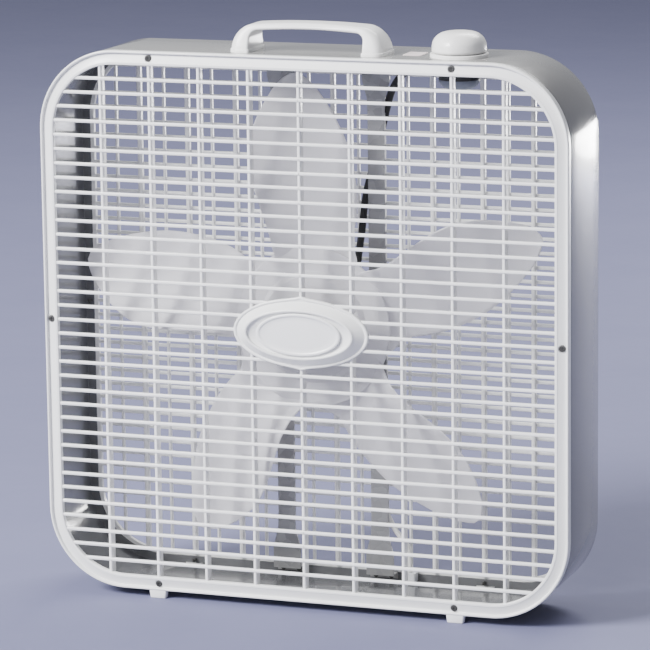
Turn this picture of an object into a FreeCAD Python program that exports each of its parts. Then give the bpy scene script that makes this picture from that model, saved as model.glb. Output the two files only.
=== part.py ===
"""Box fan with a square steel band, two moulded grilles, a five-blade impeller and a top switch.

Working coordinates are millimetres: X to the right as the fan faces the user, Y is the depth
behind the front face and Z is the height above the impeller's axis. `save` moves each finished
solid to the part's own frame: origin on the floor, under the middle of the fan, front facing -Y.
"""
import FreeCAD, Part
import math
import os

from FreeCAD import Vector

# Driving dimensions
FACE_HALF = 262.5        # half the width and height of the square front face
DEPTH = 104.5            # front face to rear face
CORNER_R = 77.0          # outer corner radius of the face
FOOT_DROP = 8.0          # how far the feet reach below the face
BADGE_RISE = 8.0         # how far the centre badge stands in front of the face
OPENING_HALF = 249.0     # half the grille opening
BAR_PITCH = 13.84        # horizontal bars
BAR_COUNT = 35
BAR_TALL = 3.2
RIB_PITCH = 50.0         # vertical ribs
RIB_COUNT = 9
BAND_T = 1.2             # sheet thickness of the band
STRAP_X = 48.0           # motor straps, either side of the axis
STRAP_FRONT = 85.0
KNOB_X = 143.5
KNOB_Y = 47.0
HANDLE_HALF = 75.5
HANDLE_FRONT = 20.0
HANDLE_BACK = 64.0

# Values worked out from them
ROW_SHIFT = Vector(0, -(DEPTH - BADGE_RISE) / 2, FACE_HALF + FOOT_DROP)
BAND_HALF = FACE_HALF - 0.6
LIP_HALF = BAND_HALF - 1.9
BAND_TOP = BAND_HALF
BAND_UNDER = BAND_HALF - BAND_T
SCREW_LINE = 256.0
FACE_SCREWS = [(-150, SCREW_LINE), (150, SCREW_LINE), (-150, -SCREW_LINE), (150, -SCREW_LINE),
               (-SCREW_LINE, 0), (SCREW_LINE, 0)]

# Depths from each face at which the grille and the band meet
SKIRT_DEPTH = 8.0
CHANNEL_DEPTH = 1.4
PLATE_BACK = 3.4
FLANGE_FRONT = 5.0
FLANGE_T = 1.2
STEP_FRONT = 11.5
FLANGE_HALF = 252.5
REAR_GAP = 0.4            # clearance between the rear grille's edge and the band round it
REAR_EDGE = 0.6           # how far the band stops short of the rear face

# Screws, bolts and rivets, and the holes they pass
SCREW_R = 1.7
SCREW_HOLE_R = 1.75
BOLT_R = 2.0
BOLT_HOLE_R = 2.05
RIVET_R = 1.5
RIVET_HEAD_R = 2.4
NUT_ACROSS = 7.0

# Oval boss and badge, half width and half height
BOSS_FRONT = (54.8, 24.5)
BOSS_BACK = (66.0, 31.8)
BADGE_OUTER = (42.0, 20.4)
BADGE_INNER = (38.6, 17.4)
FOOT_X = 151.0

# Motor, front to back
SHAFT_R = 4.0
FRONT_BELL = 46.0
STACK_FRONT = 58.0
STACK_BACK = 72.0
REAR_BELL = 84.0
MOTOR_R = 42.0
BOLT_PLACE = 26.9

Y_AXIS = Vector(0, 1, 0)
Z_AXIS = Vector(0, 0, 1)


def save(name, shape):
    """Move a finished solid to the part's frame and write it."""
    shape = shape.copy()
    shape.translate(ROW_SHIFT)
    shape.exportStep("parts/" + name + ".step")
    box = shape.BoundBox
    print("%-22s %9.0f mm3  solids %2d  valid %s  z %.1f to %.1f" % (
        name, shape.Volume, len(shape.Solids), shape.isValid(), box.ZMin, box.ZMax))


# Small shape helpers

def fuse(shapes):
    """One solid from several that touch."""
    return shapes[0].multiFuse(shapes[1:]).removeSplitter()


def group(shapes):
    """Separate solids kept together."""
    return Part.makeCompound(shapes)


def box(x0, x1, y0, y1, z0, z1):
    """A box between two corners."""
    return Part.makeBox(x1 - x0, y1 - y0, z1 - z0, Vector(x0, y0, z0))


def rod_y(x, z, radius, y0, y1):
    """A cylinder along the depth."""
    return Part.makeCylinder(radius, y1 - y0, Vector(x, y0, z), Y_AXIS)


def rod_z(x, y, radius, z0, z1):
    """An upright cylinder."""
    return Part.makeCylinder(radius, z1 - z0, Vector(x, y, z0), Z_AXIS)


def tube_y(x, z, outer, inner, y0, y1):
    """A tube along the depth."""
    return rod_y(x, z, outer, y0, y1).cut(rod_y(x, z, inner, y0 - 1, y1 + 1))


def tube_z(x, y, outer, inner, z0, z1):
    """An upright tube."""
    return rod_z(x, y, outer, z0, z1).cut(rod_z(x, y, inner, z0 - 1, z1 + 1))


def prism(edges, direction):
    """Extrude the face inside closed edges."""
    return Part.Face(Part.Wire(Part.__sortEdges__(edges))).extrude(direction)


def runs(points, lift):
    """Edges of an outline given as runs: 2 points for a line, 3 for an arc."""
    edges = []
    for run in points:
        ends = [lift(*place) for place in run]
        curve = Part.Arc(*ends) if len(run) == 3 else Part.LineSegment(*ends)
        edges.append(curve.toShape())
    return edges


def polygon(points):
    """Straight edges through points, closed."""
    closed = points + [points[0]]
    return [Part.LineSegment(a, b).toShape() for a, b in zip(closed, closed[1:])]


def corner_radius(half):
    """Radius that keeps a rounded square concentric with the face's corners."""
    return CORNER_R - (FACE_HALF - half)


def rounded_rect(cx, cy, half_x, half_y, radius):
    """Edges of a rounded rectangle in a plane given as (a, b) pairs."""
    k = radius * (1 - math.sqrt(0.5))
    edges = []
    for sx, sy in ((1, 1), (-1, 1), (-1, -1), (1, -1)):
        first = (cx + sx * half_x, cy + sy * (half_y - radius))
        middle = (cx + sx * (half_x - k), cy + sy * (half_y - k))
        last = (cx + sx * (half_x - radius), cy + sy * half_y)
        if sx * sy < 0:
            first, last = last, first
        edges.append((first, middle, last))
    return edges


def rounded_wire(cx, cy, half_x, half_y, radius, lift):
    """Closed wire of a rounded rectangle, with `lift` turning (a, b) into a point."""
    arcs = rounded_rect(cx, cy, half_x, half_y, radius)
    edges = []
    for index, (first, middle, last) in enumerate(arcs):
        edges.append(Part.Arc(lift(*first), lift(*middle), lift(*last)).toShape())
        following = arcs[(index + 1) % 4][0]
        edges.append(Part.LineSegment(lift(*last), lift(*following)).toShape())
    return edges


def square_prism(half, y0, y1):
    """Rounded square slab, concentric with the face, between two depths."""
    edges = rounded_wire(0, 0, half, half, corner_radius(half), lambda a, b: Vector(a, y0, b))
    return prism(edges, Vector(0, y1 - y0, 0))


def square_ring(outer, inner, y0, y1):
    """Rounded square frame between two half sizes."""
    return square_prism(outer, y0, y1).cut(square_prism(inner, y0 - 1, y1 + 1))


def plan_prism(cx, cy, half_x, half_y, radius, z0, z1):
    """Rounded rectangle in plan, extruded upwards."""
    edges = rounded_wire(cx, cy, half_x, half_y, radius, lambda a, b: Vector(a, b, z0))
    return prism(edges, Vector(0, 0, z1 - z0))


def oval(half_x, half_z, y):
    """Ellipse facing the user."""
    curve = Part.Ellipse(Vector(0, y, 0), half_x, half_z)
    shape = curve.toShape()
    shape.rotate(Vector(0, y, 0), Vector(1, 0, 0), 90)
    return Part.Wire(shape)


def oval_slab(half_x, half_z, y0, y1):
    """Elliptical slab between two depths."""
    return Part.Face(oval(half_x, half_z, y0)).extrude(Vector(0, y1 - y0, 0))


def oval_cone(front, back, y0, y1):
    """Elliptical cone between two (half_x, half_z) sizes."""
    return Part.makeLoft([oval(front[0], front[1], y0), oval(back[0], back[1], y1)], True, True)


def hex_y(x, z, across, y0, y1):
    """Hexagonal prism along the depth."""
    radius = across / math.sqrt(3)
    angles = [math.radians(60 * k) for k in range(6)]
    points = [Vector(x + radius * math.cos(a), y0, z + radius * math.sin(a)) for a in angles]
    return prism(polygon(points), Vector(0, y1 - y0, 0))


def mirror_depth(shape):
    """Turn something made at the front face to the rear face."""
    return shape.mirror(Vector(0, DEPTH / 2, 0), Y_AXIS)


def cord_tube(points, radius, name):
    """Round tube along straight runs joined by tangent arcs; prints its tightest bend."""
    edges = []
    length = 0.0
    start = points[0]
    radii = []
    for before, corner, after in zip(points, points[1:], points[2:]):
        into = corner - before
        out = after - corner
        turn = into.getAngle(out)
        shorter = min(into.Length, out.Length)
        bend = 0.45 * shorter / math.tan(turn / 2)
        radii.append(bend)
        reach = 0.45 * shorter
        first = corner - Vector(into).normalize() * reach
        last = corner + Vector(out).normalize() * reach
        inward = (Vector(out).normalize() - Vector(into).normalize()).normalize()
        middle = corner + inward * (bend / math.cos(turn / 2) - bend)
        edges.append(Part.LineSegment(start, first).toShape())
        edges.append(Part.Arc(first, middle, last).toShape())
        length += (first - start).Length + bend * turn
        start = last
    edges.append(Part.LineSegment(start, points[-1]).toShape())
    length += (points[-1] - start).Length
    path = Part.Wire(edges)
    circle = Part.Wire(Part.makeCircle(radius, points[0], points[1] - points[0]))
    tube = path.makePipeShell([circle], True, False)
    section = math.pi * radius * radius
    print("%s length %.1f mm, radii %s, volume ratio %.4f" % (
        name, length, [round(r) for r in radii], tube.Volume / (section * length)))
    return tube


def pan_screw(head_r, head_t, shank_r, length):
    """Pan-head screw along +Y, its head in front of y = 0, with a cross recess."""
    head = Part.makeCylinder(head_r, head_t, Vector(0, -head_t, 0), Y_AXIS)
    rim = [edge for edge in head.Edges if edge.BoundBox.YMax < -head_t * 0.99]
    head = head.makeFillet(head_t * 0.45, rim)
    slot = box(-head_r * 0.62, head_r * 0.62, -head_t - 1, -head_t * 0.45, -0.45, 0.45)
    cross = box(-0.45, 0.45, -head_t - 1, -head_t * 0.45, -head_r * 0.62, head_r * 0.62)
    head = head.cut(slot).cut(cross)
    shank = Part.makeCylinder(shank_r, length - shank_r, Vector(0, 0, 0), Y_AXIS)
    tip = Part.makeCone(shank_r, shank_r * 0.35, shank_r, Vector(0, length - shank_r, 0), Y_AXIS)
    return fuse([head, shank, tip])


# Housing

def housing_band():
    """Sheet-steel band: stepped in under the front skirt, with an inward flange at each end."""
    main = square_ring(BAND_HALF, BAND_UNDER, STEP_FRONT, DEPTH - REAR_EDGE)
    step = square_ring(BAND_HALF, LIP_HALF - BAND_T, STEP_FRONT, STEP_FRONT + BAND_T)
    lip = square_ring(LIP_HALF, LIP_HALF - BAND_T, FLANGE_FRONT, STEP_FRONT + BAND_T)
    front = square_ring(LIP_HALF, FLANGE_HALF, FLANGE_FRONT, FLANGE_FRONT + FLANGE_T)
    rear = mirror_depth(square_ring(BAND_HALF, FLANGE_HALF, FLANGE_FRONT, FLANGE_FRONT + FLANGE_T))
    holes = group([rod_y(x, z, SCREW_HOLE_R, FLANGE_FRONT - 1, FLANGE_FRONT + 3) for x, z in FACE_SCREWS])
    band = fuse([main, step, lip, front, rear]).cut(group([holes, mirror_depth(holes)]))
    cuts = [rod_z(KNOB_X, KNOB_Y, 4.75, BAND_UNDER - 1, BAND_TOP + 1)]
    for x, y in HANDLE_SCREWS:
        cuts.append(rod_z(x, y, SCREW_HOLE_R, BAND_UNDER - 1, BAND_TOP + 1))
    for x, z in RIVETS:
        cuts.append(rod_y(x, z, RIVET_R, DEPTH - FLANGE_FRONT - 3, DEPTH - FLANGE_FRONT + 1))
    cuts.append(rod_y(GLAND_X, GLAND_Z, GLAND_NECK_R, DEPTH - FLANGE_FRONT - 3, DEPTH - FLANGE_FRONT + 1))
    for x in (-FOOT_X, FOOT_X):
        notch = DEPTH - SKIRT_DEPTH - 0.3
        cuts.append(box(x - 9.4, x + 9.4, notch, DEPTH + 1, -BAND_HALF - 1, -FACE_HALF + 3.3))
    return band.cut(group(cuts))


# Grilles, made at the front face

def grille_border():
    """Border with two raised beads, an outer skirt, an inner wall and six screw bosses."""
    parts = [
        square_ring(FACE_HALF, FACE_HALF - 2.2, 0.8, SKIRT_DEPTH),
        square_ring(FACE_HALF - 0.6, FACE_HALF - 3.4, 0, PLATE_BACK),
        square_ring(FACE_HALF - 2.0, OPENING_HALF + 0.5, CHANNEL_DEPTH, PLATE_BACK),
        square_ring(OPENING_HALF + 2.5, OPENING_HALF, 0, 5.0),
    ]
    parts += [rod_y(x, z, 5.4, CHANNEL_DEPTH, FLANGE_FRONT) for x, z in FACE_SCREWS]
    border = fuse(parts).common(square_prism(FACE_HALF, -1, SKIRT_DEPTH))
    seats = [rod_y(x, z, 3.6, CHANNEL_DEPTH - 2, 2.9) for x, z in FACE_SCREWS]
    bores = [rod_y(x, z, SCREW_HOLE_R, 0, 6) for x, z in FACE_SCREWS]
    return border.cut(group(seats + bores))


def lattice(rib_wide, rib_back, thin_ribs):
    """Horizontal bars crossed by deeper upright ribs, trimmed to the opening."""
    reach = OPENING_HALF + 1.4
    pieces = []
    for i in range(BAR_COUNT):
        z = (i - (BAR_COUNT - 1) / 2) * BAR_PITCH
        pieces.append(box(-reach, reach, 0.6, 4.4, z - BAR_TALL / 2, z + BAR_TALL / 2))
    for i in range(RIB_COUNT):
        x = (i - (RIB_COUNT - 1) / 2) * RIB_PITCH
        pieces.append(box(x - rib_wide / 2, x + rib_wide / 2, 1.2, rib_back, -reach, reach))
    if thin_ribs:
        for i in range(RIB_COUNT + 1):
            x = (i - RIB_COUNT / 2) * RIB_PITCH
            pieces.append(box(x - 1.1, x + 1.1, 1.4, 6.2, -reach, reach))
    return fuse(pieces).common(square_prism(reach, -1, rib_back + 1))


def foot_tabs(top):
    """Two short tapered feet moulded under the border, from a height down to the floor."""
    feet = []
    for x in (-FOOT_X, FOOT_X):
        outline = [Vector(x - 9.0, 0.6, top), Vector(x + 9.0, 0.6, top),
                   Vector(x + 7.8, 0.6, -FACE_HALF - FOOT_DROP), Vector(x - 7.8, 0.6, -FACE_HALF - FOOT_DROP)]
        feet.append(prism(polygon(outline), Vector(0, SKIRT_DEPTH - 0.6, 0)))
    return feet


def boss():
    """Hollow oval boss in the middle: rim, sloped wall, and a floor that carries the badge."""
    rim = oval_slab(*BOSS_FRONT, -BADGE_RISE, -6.8)
    outer = fuse([rim, oval_cone(BOSS_FRONT, BOSS_BACK, -6.8, 1.6)])
    pocket = oval_slab(51.8, 21.6, -BADGE_RISE - 1, -5.2)
    hollow = oval_cone((56.7, 25.1), (63.8, 29.8), -3.6, 1.61)
    return outer.cut(pocket).cut(hollow)


def front_grille():
    """Front grille with the oval boss that carries the badge."""
    net = lattice(3.2, 11.2, False).cut(oval_slab(*BOSS_BACK, -2, 20))
    ring = oval_slab(67.5, 33.2, -0.8, 3.2).cut(oval_slab(64.6, 30.4, -2, 5))
    return fuse([grille_border(), net] + foot_tabs(-FACE_HALF + 1.5) + [ring, boss()])


def badge():
    """Plain oval badge with a raised rim, let into the boss."""
    plate = oval_slab(*BADGE_OUTER, -7.0, -5.2)
    rim = oval_slab(*BADGE_OUTER, -7.8, -7.0).cut(oval_slab(*BADGE_INNER, -9, -6))
    return fuse([plate, rim])


def rear_grille():
    """Rear grille, set inside the band: broader ribs with thin ones between, and the gland's hole."""
    border = grille_border().common(square_prism(BAND_UNDER - REAR_GAP, -1, FLANGE_FRONT))
    made = fuse([border, lattice(4.2, 8.2, True)] + foot_tabs(-FACE_HALF + 3.0))
    hole = rod_y(GLAND_X, GLAND_Z, GLAND_NECK_R, -1, 7)
    return mirror_depth(made.cut(hole))


def face_screws():
    """Six recessed screws through the border into the band's flange."""
    made = []
    for x, z in FACE_SCREWS:
        screw = pan_screw(3.2, 1.7, SCREW_R, 10.0)
        screw.translate(Vector(x, 2.9, z))
        made.append(screw)
    return group(made)


# Handle

HANDLE_SCREWS = [(sx * 66.0, y) for sx in (-1, 1) for y in (33.0, 51.0)]


def arch_plane(x, z):
    """Point of the handle's outline, in front of the handle."""
    return Vector(x, HANDLE_FRONT - 2, BAND_TOP + z)


def handle():
    """Moulded carrying handle: two flared hollow-looking legs and a gently arched grip."""
    half = HANDLE_HALF
    depth = HANDLE_BACK - HANDLE_FRONT
    middle_y = (HANDLE_FRONT + HANDLE_BACK) / 2
    outside = runs([
        ((-half, 0), (-half, 4)),
        ((-half, 4), (-half + 6.5, 18.5), (-half + 22, 26.4)),
        ((-half + 22, 26.4), (0, 28.4), (half - 22, 26.4)),
        ((half - 22, 26.4), (half - 6.5, 18.5), (half, 4)),
        ((half, 4), (half, 0)),
        ((half, 0), (-half, 0)),
    ], arch_plane)
    inside = runs([
        ((-56.5, -2), (-56.5, 13)),
        ((-56.5, 13), (-54.0, 18.6), (-48.0, 20.8)),
        ((-48.0, 20.8), (0, 22.6), (48.0, 20.8)),
        ((48.0, 20.8), (54.0, 18.6), (56.5, 13)),
        ((56.5, 13), (56.5, -2)),
        ((56.5, -2), (-56.5, -2)),
    ], arch_plane)
    run = Vector(0, depth + 4, 0)
    body = prism(outside, run).cut(prism(inside, run))
    body = body.common(plan_prism(0, middle_y, half, depth / 2, 15, BAND_TOP, BAND_TOP + 40))
    front = HANDLE_FRONT
    back = HANDLE_BACK
    flank = runs([
        ((front, -1), (front, 5)),
        ((front, 5), (front + 6.5, 24.5)),
        ((front + 6.5, 24.5), (front + 8.2, 27.6), (front + 12, 28.8)),
        ((front + 12, 28.8), (back - 12, 28.8)),
        ((back - 12, 28.8), (back - 8.2, 27.6), (back - 6.5, 24.5)),
        ((back - 6.5, 24.5), (back, 5)),
        ((back, 5), (back, -1)),
        ((back, -1), (front, -1)),
    ], lambda y, z: Vector(-half - 5, y, BAND_TOP + z))
    body = body.common(prism(flank, Vector(2 * half + 10, 0, 0)))
    foot = plan_prism(0, middle_y, half + 0.9, depth / 2 + 0.9, 15.9, BAND_TOP, BAND_TOP + 3.2)
    foot = foot.cut(box(-55.6, 55.6, 0, 100, BAND_TOP - 1, BAND_TOP + 5))
    bores = [rod_z(x, y, 1.72, BAND_TOP - 1, BAND_TOP + 11.5) for x, y in HANDLE_SCREWS]
    return fuse([body, foot]).cut(group(bores))


def handle_screws():
    """Four screws driven up through the band into the handle's legs."""
    made = []
    for x, y in HANDLE_SCREWS:
        screw = pan_screw(3.2, 2.0, SCREW_R, 11.5)
        screw.rotate(Vector(0, 0, 0), Vector(1, 0, 0), 90)
        screw.translate(Vector(x, y, BAND_UNDER))
        made.append(screw)
    return group(made)


# Switch and knob

BEZEL_TOP = BAND_TOP + 3.3
KNOB_BOTTOM = BEZEL_TOP + 0.5
KNOB_TALL = 19.8
SWITCH_R = 19.5
BUSHING_R = 4.7
SPINDLE_R = 3.0
COVER_TOP = BAND_UNDER - 20.0


def lens(scale, z):
    """Plan outline of the knob: two arcs that meet in a point at front and back."""
    long_half = 29.0 * scale
    wide_half = 26.0 * scale
    front = Vector(KNOB_X, KNOB_Y - long_half, z)
    back = Vector(KNOB_X, KNOB_Y + long_half, z)
    right = Part.Arc(front, Vector(KNOB_X + wide_half, KNOB_Y, z), back).toShape()
    left = Part.Arc(back, Vector(KNOB_X - wide_half, KNOB_Y, z), front).toShape()
    return Part.Wire([right, left])


def knob():
    """Domed pointer knob, hollow below round a boss that grips the spindle."""
    levels = [(0, 0.985), (5.5, 0.985), (11.0, 0.93), (15.6, 0.80), (18.4, 0.62), (KNOB_TALL, 0.40)]
    dome = Part.makeLoft([lens(scale, KNOB_BOTTOM + z) for z, scale in levels], True, False)
    hollow = rod_z(KNOB_X, KNOB_Y, 22.0, KNOB_BOTTOM - 1, KNOB_BOTTOM + 8)
    boss = rod_z(KNOB_X, KNOB_Y, 6.5, KNOB_BOTTOM + 0.6, KNOB_BOTTOM + 9)
    made = fuse([dome.cut(hollow), boss])
    return made.cut(rod_z(KNOB_X, KNOB_Y, SPINDLE_R, KNOB_BOTTOM - 1, KNOB_BOTTOM + 14))


def knob_bezel():
    """Fixed ring round the knob, covering the switch's nut."""
    ring = rod_z(KNOB_X, KNOB_Y, 27.4, BAND_TOP, BEZEL_TOP)
    ring = ring.cut(rod_z(KNOB_X, KNOB_Y, 5.6, BAND_TOP - 1, BEZEL_TOP + 1))
    return ring.cut(rod_z(KNOB_X, KNOB_Y, 9.0, BAND_TOP - 1, BEZEL_TOP - 0.6))


def legend_plate():
    """Thin plain plate beside the knob, where the speed settings are marked."""
    return plan_prism(99.0, 52.0, 9.0, 12.0, 2.0, BAND_TOP, BAND_TOP + 0.4)


def switch_body():
    """Round switch housing under the band, open below, with a threaded bushing on top."""
    body = rod_z(KNOB_X, KNOB_Y, SWITCH_R, COVER_TOP, BAND_UNDER)
    body = body.cut(rod_z(KNOB_X, KNOB_Y, SWITCH_R - 1.8, COVER_TOP - 1, BAND_UNDER - 2.4))
    bushing = rod_z(KNOB_X, KNOB_Y, BUSHING_R, BAND_UNDER - 2.4, BEZEL_TOP + 0.3)
    made = fuse([body, bushing]).cut(rod_z(KNOB_X, KNOB_Y, SPINDLE_R + 0.05, COVER_TOP - 1, BEZEL_TOP + 2))
    return made.cut(lead_port())


def lead_port():
    """Hole in the switch's side where the sleeved leads come in."""
    inward = Vector(KNOB_X, KNOB_Y, SLEEVE_ROUTE[-1].z) - SLEEVE_ROUTE[-1]
    start = SLEEVE_ROUTE[-1] - Vector(inward).normalize() * 3
    return Part.makeCylinder(3.4, 7, start, inward)


def switch_cover():
    """Rounded cap that closes the switch from below."""
    foot = COVER_TOP - 9.0
    flat = SWITCH_R - 10.5
    outline = runs([
        ((0, COVER_TOP), (SWITCH_R, COVER_TOP)),
        ((SWITCH_R, COVER_TOP), (SWITCH_R, COVER_TOP - 1.4)),
        ((SWITCH_R, COVER_TOP - 1.4), (SWITCH_R - 3.4, COVER_TOP - 6.4), (flat, foot)),
        ((flat, foot), (0, foot)),
        ((0, foot), (0, COVER_TOP)),
    ], lambda r, z: Vector(KNOB_X + r, KNOB_Y, z))
    face = Part.Face(Part.Wire(outline))
    cap = face.revolve(Vector(KNOB_X, KNOB_Y, 0), Z_AXIS, 360)
    cap = cap.cut(rod_z(KNOB_X, KNOB_Y, SWITCH_R - 8.5, foot + 2.2, COVER_TOP + 1))
    pivot = tube_z(KNOB_X, KNOB_Y, 5.0, SPINDLE_R + 0.05, foot + 1.0, COVER_TOP - 2)
    return fuse([cap, pivot])


def switch_nut():
    """Thin hexagon nut that holds the switch to the band."""
    radius = 13.0 / math.sqrt(3)
    points = [Vector(KNOB_X + radius * math.cos(math.radians(60 * k)),
                     KNOB_Y + radius * math.sin(math.radians(60 * k)), BAND_TOP) for k in range(6)]
    nut = prism(polygon(points), Vector(0, 0, 2.4))
    return nut.cut(rod_z(KNOB_X, KNOB_Y, BUSHING_R + 0.03, BAND_TOP - 1, BAND_TOP + 4))


def switch_spindle():
    """Steel spindle from the cover's pivot up into the knob."""
    return rod_z(KNOB_X, KNOB_Y, SPINDLE_R, COVER_TOP - 6.5, KNOB_BOTTOM + 13.5)


def switch_cam():
    """Moulded cam on the spindle with four shallow detent notches."""
    z0 = COVER_TOP + 2.0
    disc = rod_z(KNOB_X, KNOB_Y, 12.5, z0, z0 + 5)
    hub = rod_z(KNOB_X, KNOB_Y, 6.0, z0 - 3, z0 + 10)
    made = fuse([disc, hub]).cut(rod_z(KNOB_X, KNOB_Y, SPINDLE_R, z0 - 5, z0 + 12))
    notches = []
    for k in range(4):
        angle = math.radians(90 + 45 * k)
        x = KNOB_X + 13.6 * math.cos(angle)
        y = KNOB_Y + 13.6 * math.sin(angle)
        notches.append(rod_z(x, y, 2.4, z0 - 1, z0 + 6))
    return made.cut(group(notches))


def switch_contacts():
    """Four brass contact blades held in the switch's wall, clear of the cam."""
    made = []
    for k in range(4):
        angle = 20 + 45 * k
        blade = box(13.6, 17.5, -2.4, 2.4, COVER_TOP + 9.4, COVER_TOP + 10.2)
        post = box(16.7, 17.5, -2.4, 2.4, COVER_TOP + 2.0, COVER_TOP + 9.4)
        contact = fuse([blade, post])
        contact.rotate(Vector(0, 0, 0), Z_AXIS, -angle)
        contact.translate(Vector(KNOB_X, KNOB_Y, 0))
        made.append(contact)
    return group(made)


# Impeller

HUB_FRONT = 33.5
HUB_BACK = 36.5
HUB_R = 77.5
BLADE_COUNT = 5
# Blade sections up the span: height, left and right edge, depth of the left and right edge
BLADE_SECTIONS = [
    (58.0, -37.0, 44.0, 34.4, 35.6),
    (66.0, -37.5, 44.0, 33.0, 38.0),
    (75.0, -37.5, 39.5, 28.0, 43.0),
    (86.0, -37.5, 36.0, 22.0, 48.0),
    (102.0, -40.5, 38.8, 17.0, 51.5),
    (122.0, -46.8, 39.7, 15.5, 53.0),
    (142.0, -53.4, 37.8, 16.0, 53.5),
    (162.0, -57.4, 33.9, 19.0, 53.5),
    (182.0, -57.0, 26.8, 24.5, 53.5),
    (202.0, -51.8, 16.6, 31.5, 53.0),
    (217.0, -45.0, 7.2, 38.0, 52.5),
    (228.0, -38.8, -1.2, 42.5, 52.0),
    (236.0, -31.5, -10.0, 46.0, 51.0),
    (240.5, -24.5, -17.0, 48.0, 50.0),
]
BLADE_T = 2.4


def blade_section(height, left, right, left_y, right_y):
    """Thin bowed section across one blade, hollow side towards the front."""
    bow = 0.055 * (right - left)
    mid_x = (left + right) / 2
    mid_y = (left_y + right_y) / 2 + bow
    f = -BLADE_T / 2
    b = BLADE_T / 2
    return Part.Wire(runs([
        ((left, left_y + f), (mid_x, mid_y + f), (right, right_y + f)),
        ((right, right_y + f), (right, right_y + b)),
        ((right, right_y + b), (mid_x, mid_y + b), (left, left_y + b)),
        ((left, left_y + b), (left, left_y + f)),
    ], lambda x, y: Vector(x, y, height)))


def blade():
    """One swept blade, lofted through its sections."""
    return Part.makeLoft([blade_section(*row) for row in BLADE_SECTIONS], True, False)


def hub():
    """Central disc with a raised middle, a boss on the shaft and a stiffening ring behind."""
    disc = rod_y(0, 0, HUB_R, HUB_FRONT, HUB_BACK)
    raised = Part.makeCone(54.0, 50.0, 4.5, Vector(0, HUB_FRONT + 0.1, 0), Vector(0, -1, 0))
    relief = Part.makeCone(51.5, 47.5, 4.5, Vector(0, HUB_BACK, 0), Vector(0, -1, 0))
    boss = rod_y(0, 0, 10.0, 29.5, 40.5)
    ring = tube_y(0, 0, 52.5, 50.0, HUB_FRONT + 1, 42.5)
    return fuse([disc, raised]).cut(relief).multiFuse([boss, ring]).removeSplitter()


def fan_blade():
    """Impeller: hub and five blades as one moulding, bored for the shaft."""
    one = blade()
    blades = []
    for k in range(BLADE_COUNT):
        turned = one.copy()
        turned.rotate(Vector(0, 0, 0), Y_AXIS, 72 * k)
        blades.append(turned)
    made = hub().multiFuse(blades)
    return made.cut(rod_y(0, 0, SHAFT_R, 0, DEPTH))


def blade_retainer():
    """Push-on ring that keeps the impeller on the shaft."""
    return tube_y(0, 0, 9.0, SHAFT_R, 26.2, 28.8)


# Motor

def motor_shaft():
    """Steel shaft from the retainer back through both bearings."""
    return rod_y(0, 0, SHAFT_R, 24.0, 89.0)


def motor_rotor():
    """Squirrel-cage rotor with cast end rings."""
    core = tube_y(0, 0, 23.4, SHAFT_R, STACK_FRONT - 0.5, STACK_BACK + 0.5)
    rings = [tube_y(0, 0, 21.5, 15.0, STACK_FRONT - 4.5, STACK_FRONT - 0.5),
             tube_y(0, 0, 21.5, 15.0, STACK_BACK + 0.5, STACK_BACK + 4.5)]
    return fuse([core] + rings)


def thrust_washers():
    """Two washers on the shaft, one each side between bearing and rotor or hub."""
    return group([tube_y(0, 0, 7.5, SHAFT_R, 40.8, 41.7), tube_y(0, 0, 7.5, SHAFT_R, 51.3, 53.0)])


def bolt_corners():
    """Places of the four bolts through the stator."""
    return [(sx * BOLT_PLACE, sz * BOLT_PLACE) for sx in (-1, 1) for sz in (-1, 1)]


def stator_core():
    """Laminated ring with four salient teeth that the coils sit on."""
    ring = tube_y(0, 0, MOTOR_R, 33.0, STACK_FRONT, STACK_BACK)
    teeth = []
    for k in range(4):
        tooth = box(-7, 7, STACK_FRONT, STACK_BACK, 22, 35)
        tooth.rotate(Vector(0, 0, 0), Y_AXIS, 90 * k)
        teeth.append(tooth)
    made = fuse([ring] + teeth).cut(rod_y(0, 0, 24.0, 0, DEPTH))
    bolts = [rod_y(x, z, BOLT_HOLE_R, STACK_FRONT - 1, STACK_BACK + 1) for x, z in bolt_corners()]
    return made.cut(group(bolts))


def stator_windings():
    """Four enamelled copper coils, one round each tooth."""
    coils = []
    for k in range(4):
        outer = box(-10.6, 10.6, STACK_FRONT - 3.8, STACK_BACK + 3.8, 25.5, 30.9)
        inner = box(-7.2, 7.2, STACK_FRONT - 0.2, STACK_BACK + 0.2, 24, 33)
        coil = outer.cut(inner)
        coil.rotate(Vector(0, 0, 0), Y_AXIS, 90 * k)
        coils.append(coil)
    return group(coils)


def bell(closed_y, open_y, collar_y):
    """Pressed end bell: a shallow cup with a raised collar for its bearing."""
    sign = 1 if open_y > closed_y else -1
    low, high = sorted((closed_y, open_y))
    cup = rod_y(0, 0, MOTOR_R, low, high)
    inside = sorted((closed_y + sign * 1.6, open_y + sign))
    cup = cup.cut(rod_y(0, 0, MOTOR_R - 1.6, inside[0], inside[1]))
    collar = sorted((collar_y, closed_y + sign * 5))
    collar = rod_y(0, 0, 13.5, collar[0], collar[1])
    lands = []
    for x, z in bolt_corners():
        lands.append(rod_y(x, z, 4.6, low, high).common(rod_y(0, 0, MOTOR_R, low, high)))
    made = fuse([cup, collar] + lands)
    bore = rod_y(0, 0, 9.0, low - 10, high + 10)
    bolts = [rod_y(x, z, BOLT_HOLE_R, low - 1, high + 1) for x, z in bolt_corners()]
    return made.cut(group([bore] + bolts))


def front_bell():
    """End bell behind the impeller."""
    return bell(FRONT_BELL, STACK_FRONT, FRONT_BELL - 3.5)


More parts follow.
